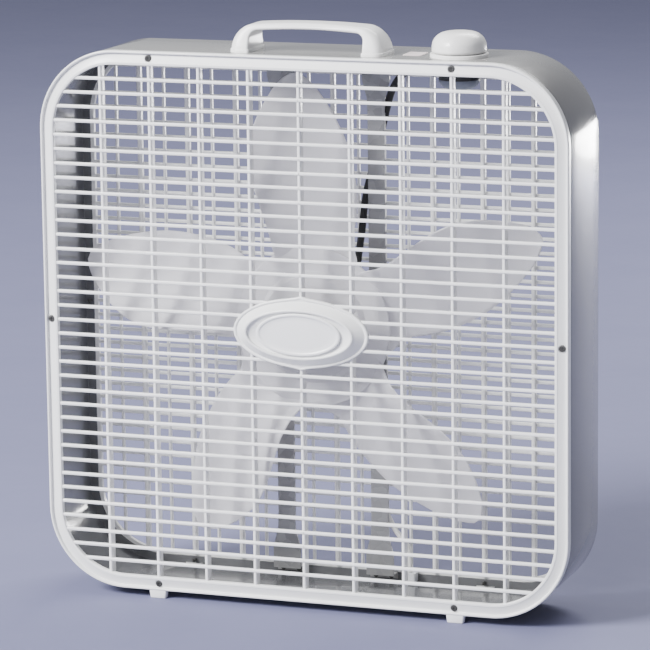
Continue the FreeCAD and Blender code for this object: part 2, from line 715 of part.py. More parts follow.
def rear_bell():
    """End bell at the straps, with four ears that are screwed to them."""
    made = bell(REAR_BELL, STACK_BACK, REAR_BELL + 4.5)
    ears = []
    for sx in (-1, 1):
        for sz in (-1, 1):
            low, high = sorted((sx * 26.0, sx * 54.5))
            ears.append(box(low, high, STRAP_FRONT - 1.6, STRAP_FRONT, sz * 20 - 6, sz * 20 + 6))
    keep = rod_y(0, 0, 41.0, REAR_BELL, STRAP_FRONT)
    heads = [rod_y(x, z, 4.4, REAR_BELL, STRAP_FRONT) for x, z in bolt_corners()]
    ears = [ear.cut(group([keep] + heads)) for ear in ears]
    holes = [rod_y(x, z, BOLT_HOLE_R, 80, 90) for x, z in EAR_SCREWS + bolt_corners()]
    return fuse([made] + ears).cut(group(holes))


def sleeve_bearing(y0, y1):
    """Plain sintered bearing with a running fit on the shaft."""
    return tube_y(0, 0, 9.0, SHAFT_R + 0.04, y0, y1)


def motor_bolts():
    """Four long bolts clamping both bells to the stator, hexagon heads at the rear."""
    made = []
    for x, z in bolt_corners():
        shank = rod_y(x, z, BOLT_R, FRONT_BELL - 4.5, REAR_BELL)
        made.append(fuse([shank, hex_y(x, z, NUT_ACROSS, REAR_BELL, REAR_BELL + 2.2)]))
    return group(made)


def motor_nuts():
    """Nuts on the front ends of the motor bolts."""
    made = []
    for x, z in bolt_corners():
        nut = hex_y(x, z, NUT_ACROSS, FRONT_BELL - 2.8, FRONT_BELL)
        made.append(nut.cut(rod_y(x, z, BOLT_R, FRONT_BELL - 4, FRONT_BELL + 1)))
    return group(made)


# Motor straps

STRAP_WIDE = 17.0
STRAP_T = 1.5
FLARE_WIDE = 28.0
STRAP_TURN = 253.5
TAB_END = 258.6
TAB_FRONT = DEPTH - FLANGE_FRONT - FLANGE_T - STRAP_T
EAR_SCREWS = [(sx * STRAP_X, sz * 20.0) for sx in (-1, 1) for sz in (-1, 1)]
RIVETS = [(sx * STRAP_X + dx, sz * 256.1) for sx in (-1, 1) for sz in (-1, 1) for dx in (-8.0, 8.0)]


def strap(x):
    """Galvanised strap: folded edges, flared ends, and tabs turned back to the rear flange."""
    back = STRAP_FRONT + STRAP_T
    half = STRAP_WIDE / 2
    wide = FLARE_WIDE / 2
    outline = [(half, 200), (half + 0.6, 214), (wide, 232), (wide, STRAP_TURN)]
    right = [Vector(x + px, STRAP_FRONT, pz) for px, pz in outline]
    left = [Vector(x - px, STRAP_FRONT, pz) for px, pz in reversed(outline)]
    low_left = [Vector(x - px, STRAP_FRONT, -pz) for px, pz in outline]
    low_right = [Vector(x + px, STRAP_FRONT, -pz) for px, pz in reversed(outline)]
    sheet = prism(polygon(right + left + low_left + low_right), Vector(0, STRAP_T, 0))
    pieces = [sheet]
    for side in (-1, 1):
        edge = x + side * half
        low, high = sorted((edge, edge - side * 1.2))
        pieces.append(box(low, high, back - 0.2, back + 2.0, -200, 200))
    for sz in (-1, 1):
        low, high = sorted((sz * STRAP_TURN, sz * (STRAP_TURN - STRAP_T)))
        pieces.append(box(x - wide, x + wide, STRAP_FRONT, TAB_FRONT + STRAP_T, low, high))
        low, high = sorted((sz * (STRAP_TURN - STRAP_T), sz * TAB_END))
        pieces.append(box(x - wide, x + wide, TAB_FRONT, TAB_FRONT + STRAP_T, low, high))
    made = fuse(pieces)
    holes = [rod_y(hx, hz, BOLT_HOLE_R, 80, 90) for hx, hz in EAR_SCREWS]
    holes += [rod_y(hx, hz, RIVET_R, TAB_FRONT - 2, DEPTH) for hx, hz in RIVETS]
    return made.cut(group(holes))


def strap_rivets():
    """Rivets joining the strap tabs to the band's rear flange."""
    made = []
    for x, z in RIVETS:
        shank = rod_y(x, z, RIVET_R, TAB_FRONT - 0.9, DEPTH - FLANGE_FRONT + 0.9)
        front = rod_y(x, z, RIVET_HEAD_R, TAB_FRONT - 0.9, TAB_FRONT)
        back = rod_y(x, z, RIVET_HEAD_R, DEPTH - FLANGE_FRONT, DEPTH - FLANGE_FRONT + 0.9)
        made.append(fuse([shank, front, back]))
    return group(made)


def mount_screws():
    """Four screws from behind through strap and motor ear."""
    made = []
    for x, z in EAR_SCREWS:
        screw = pan_screw(3.4, 2.0, BOLT_R, 9.0)
        screw.rotate(Vector(0, 0, 0), Z_AXIS, 180)
        screw.translate(Vector(x, STRAP_FRONT + STRAP_T, z))
        made.append(screw)
    return group(made)


def mount_nuts():
    """Nuts in front of the motor ears."""
    made = []
    for x, z in EAR_SCREWS:
        nut = hex_y(x, z, NUT_ACROSS, STRAP_FRONT - 4.8, STRAP_FRONT - 1.6)
        made.append(nut.cut(rod_y(x, z, BOLT_R, 70, 90)))
    return group(made)


# Wiring

GLAND_X = 76.0
GLAND_Z = -255.2
GLAND_NECK_R = 3.6
COVER_Y = 96.0
SLEEVE_R = 3.5
SLEEVE_ROUTE = [
    Vector(24.0, 91.0, 16.3), Vector(24.6, 91.6, 46.0), Vector(30.5, 92.2, 84.0),
    Vector(34.5, 92.2, 121.0), Vector(46.0, 92.2, 160.0), Vector(55.0, 92.0, 197.0),
    Vector(61.5, 92.0, 222.0), Vector(76.0, 84.5, 240.0), Vector(101.0, 68.0, 246.5),
    Vector(125.46, 54.5, 246.5),
]
LEAD_R = 2.5
LEAD_ROUTE = [
    Vector(76.0, 92.5, -249.6), Vector(77.0, 92.4, -236.0), Vector(74.0, 92.2, -222.0),
    Vector(63.0, 92.0, -211.0), Vector(53.0, 92.0, -193.0), Vector(48.2, 92.0, -160.0),
    Vector(47.0, 92.0, -110.0), Vector(48.2, 92.0, -66.0), Vector(43.0, 91.6, -36.0),
    Vector(29.0, 91.0, -28.0), Vector(27.0, 91.0, -14.4),
]


def lead_cover():
    """Small moulded cover on the motor's rear bell where the leads are joined."""
    cover = box(15.5, 36.0, REAR_BELL, COVER_Y, -14.0, 16.0)
    edges = [edge for edge in cover.Edges if edge.BoundBox.YMin > COVER_Y - 0.1]
    return cover.makeFillet(2.0, edges)


def lead_sleeve():
    """Black sleeve with the motor's leads, from the motor up behind the strap to the switch."""
    return cord_tube(SLEEVE_ROUTE, SLEEVE_R, "lead sleeve")


def supply_lead():
    """White supply lead from the gland up behind the strap to the motor."""
    return cord_tube(LEAD_ROUTE, LEAD_R, "supply lead")


def cord_gland():
    """Cord entry: a block inside the band and a neck through flange and grille border."""
    block = box(GLAND_X - 6.8, GLAND_X + 6.8, 87.5, DEPTH - FLANGE_FRONT - FLANGE_T, -258.5, -250.0)
    edges = [edge for edge in block.Edges if edge.BoundBox.ZLength > 8]
    block = block.makeFillet(1.6, edges)
    neck = rod_y(GLAND_X, GLAND_Z, GLAND_NECK_R, 96.0, DEPTH - 0.2)
    bore = rod_y(GLAND_X, GLAND_Z, 2.4, 98.0, DEPTH + 1)
    return fuse([block, neck]).cut(bore)


def main():
    """Write every node."""
    os.makedirs("parts", exist_ok=True)
    save("housing_band", housing_band())
    save("front_grille", front_grille())
    save("badge", badge())
    save("rear_grille", rear_grille())
    save("front_grille_screws", face_screws())
    save("rear_grille_screws", mirror_depth(face_screws()))
    save("handle", handle())
    save("handle_screws", handle_screws())
    save("knob", knob())
    save("knob_bezel", knob_bezel())
    save("legend_plate", legend_plate())
    save("switch_body", switch_body())
    save("switch_cover", switch_cover())
    save("switch_nut", switch_nut())
    save("switch_spindle", switch_spindle())
    save("switch_cam", switch_cam())
    save("switch_contacts", switch_contacts())
    save("fan_blade", fan_blade())
    save("blade_retainer", blade_retainer())
    save("motor_shaft", motor_shaft())
    save("motor_rotor", motor_rotor())
    save("thrust_washers", thrust_washers())
    save("stator_core", stator_core())
    save("stator_windings", stator_windings())
    save("motor_front_bell", front_bell())
    save("motor_rear_bell", rear_bell())
    save("front_bearing", sleeve_bearing(FRONT_BELL - 3.5, FRONT_BELL + 5))
    save("rear_bearing", sleeve_bearing(REAR_BELL - 5, REAR_BELL + 4.5))
    save("motor_bolts", motor_bolts())
    save("motor_nuts", motor_nuts())
    save("strap_left", strap(-STRAP_X))
    save("strap_right", strap(STRAP_X))
    save("strap_rivets", strap_rivets())
    save("mount_screws", mount_screws())
    save("mount_nuts", mount_nuts())
    save("lead_cover", lead_cover())
    save("lead_sleeve", lead_sleeve())
    save("supply_lead", supply_lead())
    save("cord_gland", cord_gland())


main()
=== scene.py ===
"""A box fan with its finishes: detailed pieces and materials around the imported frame."""

import logging
import math
from dataclasses import dataclass, field
from enum import Enum
from typing import Any, Callable, Iterable

import bmesh
import bpy
import numpy as np
from mathutils import Matrix, Vector


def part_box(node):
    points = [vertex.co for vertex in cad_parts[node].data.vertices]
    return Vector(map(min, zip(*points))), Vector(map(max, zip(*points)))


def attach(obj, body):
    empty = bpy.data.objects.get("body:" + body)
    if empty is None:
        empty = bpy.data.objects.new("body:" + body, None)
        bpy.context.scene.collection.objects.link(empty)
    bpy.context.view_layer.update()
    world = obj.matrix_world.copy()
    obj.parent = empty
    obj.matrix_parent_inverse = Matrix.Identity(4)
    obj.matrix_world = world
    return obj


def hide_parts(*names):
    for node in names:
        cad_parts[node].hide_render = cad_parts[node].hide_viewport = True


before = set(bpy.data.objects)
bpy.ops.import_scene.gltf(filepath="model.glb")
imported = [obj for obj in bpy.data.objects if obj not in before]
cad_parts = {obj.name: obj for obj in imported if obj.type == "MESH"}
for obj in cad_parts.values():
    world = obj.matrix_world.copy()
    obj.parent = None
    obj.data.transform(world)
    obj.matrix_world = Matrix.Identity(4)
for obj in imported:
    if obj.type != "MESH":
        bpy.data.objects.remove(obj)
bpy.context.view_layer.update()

log = logging.getLogger("box_fan")
Colour = tuple[float, float, float]
Point = tuple[float, float]
MM = 0.001
MERGE_DISTANCE = 2e-6
SLIVER_EDGE = 1e-7
# Name of the point attribute that marks where the band gets its painted shade colour
PAINTED_SHADE_MARK = "inside"


@dataclass(frozen=True)
class Face:
    """The square face that every other size is measured from, in millimetres."""

    half: float = 262.5
    corner: float = 77.0
    depth: float = 104.5
    opening: float = 249.0
    bar_pitch: float = 13.84
    rib_pitch: float = 50.0
    skirt: float = 8.0
    flange: float = 5.0
    foot_x: float = 151.0

    def origin(self) -> Vector:
        """Find the centre of the front face.

        Returns:
            Its place in the fan's own frame, in metres.
        """
        low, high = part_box("housing_band")
        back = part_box("rear_grille")[1].y
        return Vector(((low.x + high.x) / 2, back - self.depth * MM, (low.z + high.z) / 2))


FACE = Face()
ORIGIN = FACE.origin()


class Side(Enum):
    """Which end of the fan a grille closes."""

    FRONT = "front"
    REAR = "rear"


# Node trees


def math_node(operation: str, swapped: bool = False) -> Callable[..., "Sock"]:
    """Write one of Python's operators as a Math node.

    Args:
        operation: the Math node's operation.
        swapped: the other value comes first, as in 1 - mask.

    Returns:
        The operator's method.
    """
    def method(self: "Sock", other: Any = 0.0) -> "Sock":
        """Add the node."""
        first, second = (other, self) if swapped else (self, other)
        return self.tree.out("ShaderNodeMath", {"operation": operation}, {0: first, 1: second})
    return method


class Sock:
    """A node's output that takes part in Python sums; each sum adds a Math node."""

    def __init__(self, tree: "Tree", socket: bpy.types.NodeSocket) -> None:
        """Keep the tree and the output."""
        self.tree = tree
        self.socket = socket

    __add__ = __radd__ = math_node("ADD")
    __sub__, __rsub__ = math_node("SUBTRACT"), math_node("SUBTRACT", swapped=True)
    __mul__ = __rmul__ = math_node("MULTIPLY")
    __truediv__, __rtruediv__ = math_node("DIVIDE"), math_node("DIVIDE", swapped=True)
    __pow__ = math_node("POWER")
    __abs__ = math_node("ABSOLUTE")
    at_least = math_node("MAXIMUM")
    at_most = math_node("MINIMUM")
    root = math_node("SQRT")
    wave = math_node("SINE")


class Tree:
    """A node tree, with one method that makes any node."""

    def __init__(self, nodes: bpy.types.NodeTree) -> None:
        """Keep the tree that nodes are added to."""
        self.nodes = nodes

    def node(self, kind: str, settings: dict[str, Any], inputs: dict[Any, Any]) -> bpy.types.Node:
        """Add a node.

        Args:
            kind: the node's type.
            settings: attributes set first.
            inputs: values, or outputs to link, by the socket's name or number.

        Returns:
            The new node.
        """
        made = self.nodes.nodes.new(kind)
        for name, value in settings.items():
            setattr(made, name, value)
        for name, value in inputs.items():
            if isinstance(value, Sock):
                self.nodes.links.new(value.socket, made.inputs[name])
            else:
                made.inputs[name].default_value = value
        return made

    def out(self, kind: str, settings: dict[str, Any], inputs: dict[Any, Any], name: Any = 0) -> Sock:
        """Add a node and return one output.

        Args:
            kind: the node's type.
            settings: attributes set first.
            inputs: values, or outputs to link.
            name: which output, by name or number.

        Returns:
            The output.
        """
        return Sock(self, self.node(kind, settings, inputs).outputs[name])

    def vector(self, x: Any, y: Any, z: Any) -> Sock:
        """Join three values into a vector."""
        return self.out("ShaderNodeCombineXYZ", {}, {"X": x, "Y": y, "Z": z})

    def parts(self, vector: Sock) -> tuple[Sock, Sock, Sock]:
        """Split a vector into its three values."""
        made = self.node("ShaderNodeSeparateXYZ", {}, {0: vector})
        return tuple(Sock(self, made.outputs[k]) for k in range(3))


class Paint(Tree):
    """A material's tree."""

    def place(self) -> Sock:
        """Object coordinates, in metres."""
        return self.out("ShaderNodeTexCoord", {}, {}, "Object")

    def noise(self, where: Sock, scale: float, detail: float = 2.0, rough: float = 0.5) -> Sock:
        """Soft noise from 0 to 1.

        Args:
            where: the place it is read at.
            scale: grains per metre.
            detail: how many finer layers it has.
            rough: how strong the finer layers are.

        Returns:
            The noise's value.
        """
        inputs = {"Vector": where, "Scale": scale, "Detail": detail, "Roughness": rough}
        return self.out("ShaderNodeTexNoise", {}, inputs, "Fac")

    def cells(self, where: Sock, scale: float) -> Sock:
        """Random cells, each with its own colour."""
        return self.out("ShaderNodeTexVoronoi", {}, {"Vector": where, "Scale": scale}, "Color")

    def spread(self, value: Sock, low: float, high: float) -> Sock:
        """Stretch values between low and high to 0 to 1, held at both ends."""
        inputs = {"Value": value, "From Min": low, "From Max": high, "To Min": 0.0, "To Max": 1.0}
        return self.out("ShaderNodeMapRange", {"clamp": True}, inputs, "Result")

    def blend(self, share: Sock, first: Colour, second: Colour) -> Sock:
        """Colour between two colours."""
        inputs = {0: share, 6: (*first, 1.0), 7: (*second, 1.0)}
        return self.out("ShaderNodeMix", {"data_type": "RGBA"}, inputs, 2)


@dataclass(frozen=True)
class Finish:
    """What a surface is made of. The kinds below say how its grain runs."""

    name: str
    slot: str
    colour: Colour
    worn: Colour
    rough: float = 0.35
    rough_spread: float = 0.08
    metal: float = 0.0
    coat: float = 0.0
    coat_rough: float = 0.08
    grain: float = 0.00004
    size: float = 700.0
    through: float = 0.0

    def pattern(self, paint: Paint, where: Sock) -> tuple[Sock, Sock, Sock]:
        """Share of the worn colour, share of extra roughness, and height of the grain.

        Args:
            paint: the tree to add nodes to.
            where: object coordinates.

        Returns:
            Three values from 0 to 1.
        """
        cloud = paint.noise(where, 7.0, 3.0)
        fine = paint.noise(where, self.size, 2.0)
        return paint.spread(cloud, 0.35, 0.75), paint.noise(where, 40.0, 3.0), fine

    def colours(self, paint: Paint, share: Sock) -> Sock:
        """The colour over the surface."""
        return paint.blend(share, self.colour, self.worn)

    def build(self) -> bpy.types.Material:
        """Make the material.

        Returns:
            The material, built from nodes.
        """
        made = bpy.data.materials.new(self.name)
        made.use_nodes = True
        made.node_tree.nodes.clear()
        paint = Paint(made.node_tree)
        share, matt, height = self.pattern(paint, paint.place())
        bump = paint.out("ShaderNodeBump", {}, {"Strength": 1.0, "Distance": self.grain, "Height": height}, "Normal")
        shader = paint.out("ShaderNodeBsdfPrincipled", {}, {
            "Base Color": self.colours(paint, share),
            "Roughness": matt * self.rough_spread + self.rough,
            "Metallic": self.metal,
            "Coat Weight": self.coat,
            "Coat Roughness": self.coat_rough,
            "Normal": bump,
        }, "BSDF")
        if self.through:
            glow = paint.out("ShaderNodeBsdfTranslucent", {}, {"Color": (*self.colour, 1.0)}, "BSDF")
            shader = paint.out("ShaderNodeMixShader", {}, {0: self.through, 1: shader, 2: glow}, "Shader")
        paint.node("ShaderNodeOutputMaterial", {}, {"Surface": shader})
        return made


class Moulded(Finish):
    """Injection-moulded plastic: faint flow clouds, a fine skin and dust on what faces up."""

    def pattern(self, paint: Paint, where: Sock) -> tuple[Sock, Sock, Sock]:
        """Clouds drawn out along the flow, and dust where the surface faces up.

        Args:
            paint: the tree to add nodes to.
            where: object coordinates.

        Returns:
            Share of the worn colour, share of extra roughness, and height of the grain.
        """
        x, y, z = paint.parts(where)
        drawn = paint.vector(x * 6.0, y * 20.0, z * 14.0)
        flow = paint.noise(drawn, 1.0, 4.0, 0.55)
        facing = paint.parts(paint.out("ShaderNodeNewGeometry", {}, {}, "Normal"))[2]
        dust = paint.spread(facing, 0.55, 1.0) * paint.noise(where, 160.0, 4.0, 0.7)
        share = (paint.spread(flow, 0.35, 0.8) * 0.55 + dust * 0.35).at_most(1.0)
        skin = paint.noise(where, self.size, 3.0) * 0.7 + flow * 0.3
        return share, (flow + dust * 0.8).at_most(1.0), skin


class Enamel(Finish):
    """Sprayed enamel on sheet steel: orange peel, a dulled film here and there, and painted shade on the band's hidden
    inner side.
    """

    # Painted shade: a dark colour for the band's inner side and its step under the front skirt, standing in for the
    # shade there
    inside: Colour = (0.125, 0.127, 0.133)

    def pattern(self, paint: Paint, where: Sock) -> tuple[Sock, Sock, Sock]:
        """Orange peel of about two millimetres and wide faint clouds.

        Args:
            paint: the tree to add nodes to.
            where: object coordinates.

        Returns:
            Share of the worn colour, share of extra roughness, and height of the grain.
        """
        peel = paint.out("ShaderNodeTexVoronoi", {"feature": "SMOOTH_F1"},
                         {"Vector": where, "Scale": self.size, "Smoothness": 0.8}, "Distance")
        cloud = paint.noise(where, 5.0, 4.0, 0.6)
        rub = paint.spread(paint.noise(where, 60.0, 5.0, 0.7), 0.52, 0.8)
        return (paint.spread(cloud, 0.4, 0.75) * 0.7 + rub * 0.3).at_most(1.0), rub, peel

    def colours(self, paint: Paint, share: Sock) -> Sock:
        """Sprayed colour outside, and a dark painted shade colour where points are marked as hidden from outside.

        Args:
            paint: the tree to add nodes to.
            share: share of the worn colour.

        Returns:
            The colour.
        """
        outside = super().colours(paint, share)
        # Painted shade: blend to the dark colour where the points are marked
        shade_share = paint.out("ShaderNodeAttribute", {"attribute_name": PAINTED_SHADE_MARK}, {}, "Fac")
        return paint.out("ShaderNodeMix", {"data_type": "RGBA"}, {0: shade_share, 6: outside, 7: (*self.inside, 1.0)}, 2)


class Galvanised(Finish):
    """Zinc-coated sheet: spangles, each with its own shade, and dull streaks."""

    def pattern(self, paint: Paint, where: Sock) -> tuple[Sock, Sock, Sock]:
        """Spangles of about a centimetre, bent by noise so that their edges feather.

        Args:
            paint: the tree to add nodes to.
            where: object coordinates.

        Returns:
            Share of the worn colour, share of extra roughness, and height of the grain.
        """
        bend = paint.noise(where, 120.0, 2.0)
        shifted = paint.out("ShaderNodeVectorMath", {"operation": "MULTIPLY_ADD"},
                            {0: paint.vector(bend, bend, bend), 1: (0.006, 0.006, 0.006), 2: where})
        spangle = paint.parts(paint.cells(shifted, self.size))[0]
        streak = paint.noise(where, 30.0, 5.0, 0.65)
        share = (spangle * 0.6 + paint.spread(streak, 0.3, 0.8) * 0.4).at_most(1.0)
        return share, spangle, spangle * 0.4 + paint.noise(where, 900.0, 2.0) * 0.6


class Turned(Finish):
    """Drawn or turned metal: fine rings across the shaft's run and a little tarnish."""

    def pattern(self, paint: Paint, where: Sock) -> tuple[Sock, Sock, Sock]:
        """Fine lines along the depth, with tarnish clouds.

        Args:
            paint: the tree to add nodes to.
            where: object coordinates.

        Returns:
            Share of the worn colour, share of extra roughness, and height of the grain.
        """
        x, y, z = paint.parts(where)
        lines = paint.noise(paint.vector(x * 60.0, y * self.size, z * 60.0), 1.0, 2.0)
        tarnish = paint.spread(paint.noise(where, 140.0, 4.0, 0.6), 0.4, 0.8)
        return tarnish, lines, lines


class Wound(Finish):
    """Enamelled wire laid side by side, or thin sheets stacked along the depth."""

    def pattern(self, paint: Paint, where: Sock) -> tuple[Sock, Sock, Sock]:
        """Strands across the depth, wandering a little.

        Args:
            paint: the tree to add nodes to.
            where: object coordinates.

        Returns:
            Share of the worn colour, share of extra roughness, and height of the grain.
        """
        y = paint.parts(where)[1]
        wander = paint.noise(where, 90.0, 2.0) * 0.0012
        strand = ((y + wander) * self.size).wave() * 0.5 + 0.5
        return paint.spread(1.0 - strand, 0.3, 1.0), strand, strand


class Braided(Finish):
    """Woven sleeving: two sets of strands that cross on a slant."""

    def pattern(self, paint: Paint, where: Sock) -> tuple[Sock, Sock, Sock]:
        """Crossing strands, finest where they meet.

        Args:
            paint: the tree to add nodes to.
            where: object coordinates.

        Returns:
            Share of the worn colour, share of extra roughness, and height of the grain.
        """
        x, _, z = paint.parts(where)
        one = ((z + x * 0.8) * self.size).wave()
        two = ((z - x * 0.8) * self.size).wave()
        weave = (one * two) * 0.5 + 0.5
        return paint.spread(1.0 - weave, 0.2, 0.9), weave, weave


WHITE = (0.86, 0.86, 0.855)
FINISHES: tuple[Finish, ...] = (
    Moulded("grille_white", "grille_plastic", WHITE, (0.78, 0.78, 0.775), 0.24, 0.10, coat=0.25, grain=0.00003),
    Moulded("badge_white", "badge_plastic", (0.88, 0.88, 0.89), (0.81, 0.81, 0.82), 0.22, 0.08, coat=0.3,
            grain=0.00003),
    Moulded("handle_white", "handle_plastic", (0.88, 0.88, 0.875), (0.80, 0.80, 0.79), 0.26, 0.10, coat=0.2,
            grain=0.00004),
    Moulded("knob_white", "knob_plastic", (0.87, 0.865, 0.85), (0.80, 0.79, 0.775), 0.28, 0.10, coat=0.2,
            grain=0.00004),
    Moulded("blade_white", "blade_plastic", (0.78, 0.77, 0.80), (0.74, 0.73, 0.76), 0.40, 0.12, coat=0.0,
            grain=0.00005, through=0.4),
    Enamel("band_grey", "band_enamel", (0.25, 0.248, 0.243), (0.225, 0.223, 0.219), 0.16, 0.10, coat=0.5,
           coat_rough=0.06, grain=0.00003, size=420.0),
    Finish("legend_pale", "legend_film", (0.66, 0.58, 0.58), (0.60, 0.53, 0.53), 0.45, 0.1, grain=0.00002, size=900.0),
    Galvanised("strap_zinc", "galvanised_steel", (0.36, 0.36, 0.36), (0.27, 0.27, 0.275), 0.42, 0.2, metal=0.7,
               grain=0.00006, size=95.0),
    Galvanised("screw_dark", "screw_steel", (0.10, 0.098, 0.095), (0.055, 0.055, 0.055), 0.38, 0.2, metal=0.6,
               grain=0.00005, size=600.0),
    Turned("shaft_bright", "shaft_steel", (0.55, 0.55, 0.56), (0.42, 0.41, 0.40), 0.22, 0.15, metal=1.0,
           grain=0.00002, size=9000.0),
    Galvanised("bell_zinc", "motor_steel", (0.40, 0.40, 0.41), (0.30, 0.30, 0.31), 0.42, 0.15, metal=0.8,
               grain=0.00005, size=160.0),
    Wound("core_sheets", "core_steel", (0.30, 0.31, 0.33), (0.16, 0.16, 0.17), 0.45, 0.15, metal=0.8,
          grain=0.00012, size=9000.0),
    Turned("rotor_cast", "rotor_alloy", (0.60, 0.60, 0.61), (0.46, 0.46, 0.47), 0.4, 0.2, metal=0.9,
           grain=0.00004, size=5000.0),
    Wound("coil_wire", "coil_copper", (0.60, 0.25, 0.10), (0.32, 0.11, 0.04), 0.3, 0.15, metal=0.85, coat=0.3,
          grain=0.0002, size=7000.0),
    Turned("bearing_bronze", "bearing_bronze", (0.50, 0.34, 0.16), (0.36, 0.24, 0.12), 0.35, 0.15, metal=0.95,
           grain=0.00002, size=6000.0),
    Turned("contact_brass", "contact_brass", (0.66, 0.50, 0.22), (0.48, 0.35, 0.15), 0.28, 0.15, metal=1.0,
           grain=0.00002, size=6000.0),
    Moulded("switch_dark", "switch_black", (0.030, 0.031, 0.035), (0.055, 0.056, 0.060), 0.4, 0.15, grain=0.00006),
    Moulded("switch_blue_grey", "switch_grey", (0.17, 0.19, 0.25), (0.22, 0.24, 0.30), 0.35, 0.15, grain=0.00006),
    Moulded("cam_natural", "cam_plastic", (0.72, 0.69, 0.60), (0.62, 0.59, 0.50), 0.4, 0.12, grain=0.00005),
    Braided("sleeve_weave", "sleeve_black", (0.030, 0.030, 0.032), (0.012, 0.012, 0.013), 0.5, 0.2,
            grain=0.00025, size=4200.0),
    Finish("lead_sheath", "lead_white", (0.80, 0.80, 0.78), (0.70, 0.70, 0.67), 0.42, 0.1, grain=0.00004, size=500.0),
    Moulded("gland_pale", "gland_plastic", (0.76, 0.77, 0.80), (0.68, 0.69, 0.72), 0.42, 0.12, grain=0.00005),
    Moulded("cover_dark", "cover_black", (0.035, 0.035, 0.038), (0.06, 0.06, 0.065), 0.45, 0.15, grain=0.00006),
)

DRESSED: dict[str, tuple[str, ...]] = {
    "legend_film": ("legend_plate",),
    "galvanised_steel": ("strap_left", "strap_right"),
    "screw_steel": ("front_grille_screws", "rear_grille_screws", "handle_screws", "switch_nut", "strap_rivets",
                    "mount_screws", "mount_nuts", "motor_bolts", "motor_nuts", "thrust_washers", "blade_retainer"),
    "shaft_steel": ("motor_shaft", "switch_spindle"),
    "motor_steel": ("motor_front_bell", "motor_rear_bell"),
    "core_steel": ("stator_core",),
    "rotor_alloy": ("motor_rotor",),
    "coil_copper": ("stator_windings",),
    "bearing_bronze": ("front_bearing", "rear_bearing"),
    "contact_brass": ("switch_contacts",),
    "switch_black": ("switch_body",),
    "switch_grey": ("switch_cover",),
    "cam_plastic": ("switch_cam",),
    "sleeve_black": ("lead_sleeve",),
    "lead_white": ("supply_lead",),
    "gland_plastic": ("cord_gland",),
    "cover_black": ("lead_cover",),
}


class Paintshop:
    """Makes each finish once and puts it on pieces."""

    def __init__(self) -> None:
        """Build every finish."""
        self.made = {finish.slot: finish.build() for finish in FINISHES}

    def dress_frame(self) -> None:
        """Give every CAD node that stays on show its finish."""
        for slot, nodes in DRESSED.items():
            for node in nodes:
                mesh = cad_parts[node].data
                mesh.materials.clear()
                mesh.materials.append(self.made[slot])
                log.info("dressed %s in %s", node, slot)

    def add(self, piece: bpy.types.Object, slot: str, body: str, nodes: Iterable[str]) -> bpy.types.Object:
        """Dress a new piece, set it on its body and hide what it stands for.

        Args:
            piece: the finished piece.
            slot: the record's material slot.
            body: the CAD body it moves with.
            nodes: the CAD nodes it stands for.

        Returns:
            The piece.
        """
        piece.data.materials.clear()
        piece.data.materials.append(self.made[slot])
        piece.data.polygons.foreach_set("material_index", np.zeros(len(piece.data.polygons), np.int32))
        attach(piece, body)
        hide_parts(*nodes)
        log.info("made %s: %d faces on %s", piece.name, len(piece.data.polygons), body)
        return piece


# Meshes


LONGEST_CUT = 0.48
STRAIGHT = 1.55


def fillet(corners: list[tuple[float, float, float]], steps: int = 4) -> list[Point]:
    """Round the corners of a closed outline.

    An arc takes up less than half of each side, and a corner that is nearly straight is left as it is.

    Args:
        corners: each corner's two coordinates and its radius.
        steps: straight pieces in each arc.

    Returns:
        The outline's points.
    """
    made = []
    for index, (a, b, radius) in enumerate(corners):
        here = np.array((a, b))
        before = np.array(corners[index - 1][:2]) - here
        after = np.array(corners[(index + 1) % len(corners)][:2]) - here
        reach_most = LONGEST_CUT * min(np.linalg.norm(before), np.linalg.norm(after))
        before = before / np.linalg.norm(before)
        after = after / np.linalg.norm(after)
        half = math.acos(float(np.clip(before @ after, -1, 1))) / 2
        if radius <= 0 or half > STRAIGHT:
            made.append((a, b))
            continue
        reach = min(radius / math.tan(half), reach_most)
        middle = before + after
        centre = here + middle / np.linalg.norm(middle) * reach / math.cos(half)
        first = here + before * reach - centre
        last = here + after * reach - centre
        start = math.atan2(first[1], first[0])
        turn = (math.atan2(last[1], last[0]) - start + math.pi) % (2 * math.pi) - math.pi
        size = float(np.linalg.norm(first))
        for k in range(steps + 1):
            angle = start + turn * k / steps
            made.append((centre[0] + size * math.cos(angle), centre[1] + size * math.sin(angle)))
    return made


def arc(first: Point, middle: Point, last: Point,
        count: int) -> list[Point]:
    """Points along the arc through three points.

    Args:
        first: where it starts.
        middle: a point on the way.
        last: where it ends.
        count: how many points, both ends included.

    Returns:
        The points.
    """
    a, b, c = (np.array(p, float) for p in (first, middle, last))
    d = 2 * (a[0] * (b[1] - c[1]) + b[0] * (c[1] - a[1]) + c[0] * (a[1] - b[1]))
    ux = ((a @ a) * (b[1] - c[1]) + (b @ b) * (c[1] - a[1]) + (c @ c) * (a[1] - b[1])) / d
    uy = ((a @ a) * (c[0] - b[0]) + (b @ b) * (a[0] - c[0]) + (c @ c) * (b[0] - a[0])) / d
    angles = [math.atan2(p[1] - uy, p[0] - ux) for p in (a, b, c)]
    total = (angles[2] - angles[0]) % (2 * math.pi)
    if (angles[1] - angles[0]) % (2 * math.pi) > total:
        total -= 2 * math.pi
    radius = math.hypot(a[0] - ux, a[1] - uy)
    places = [angles[0] + total * k / (count - 1) for k in range(count)]
    return [(ux + radius * math.cos(t), uy + radius * math.sin(t)) for t in places]


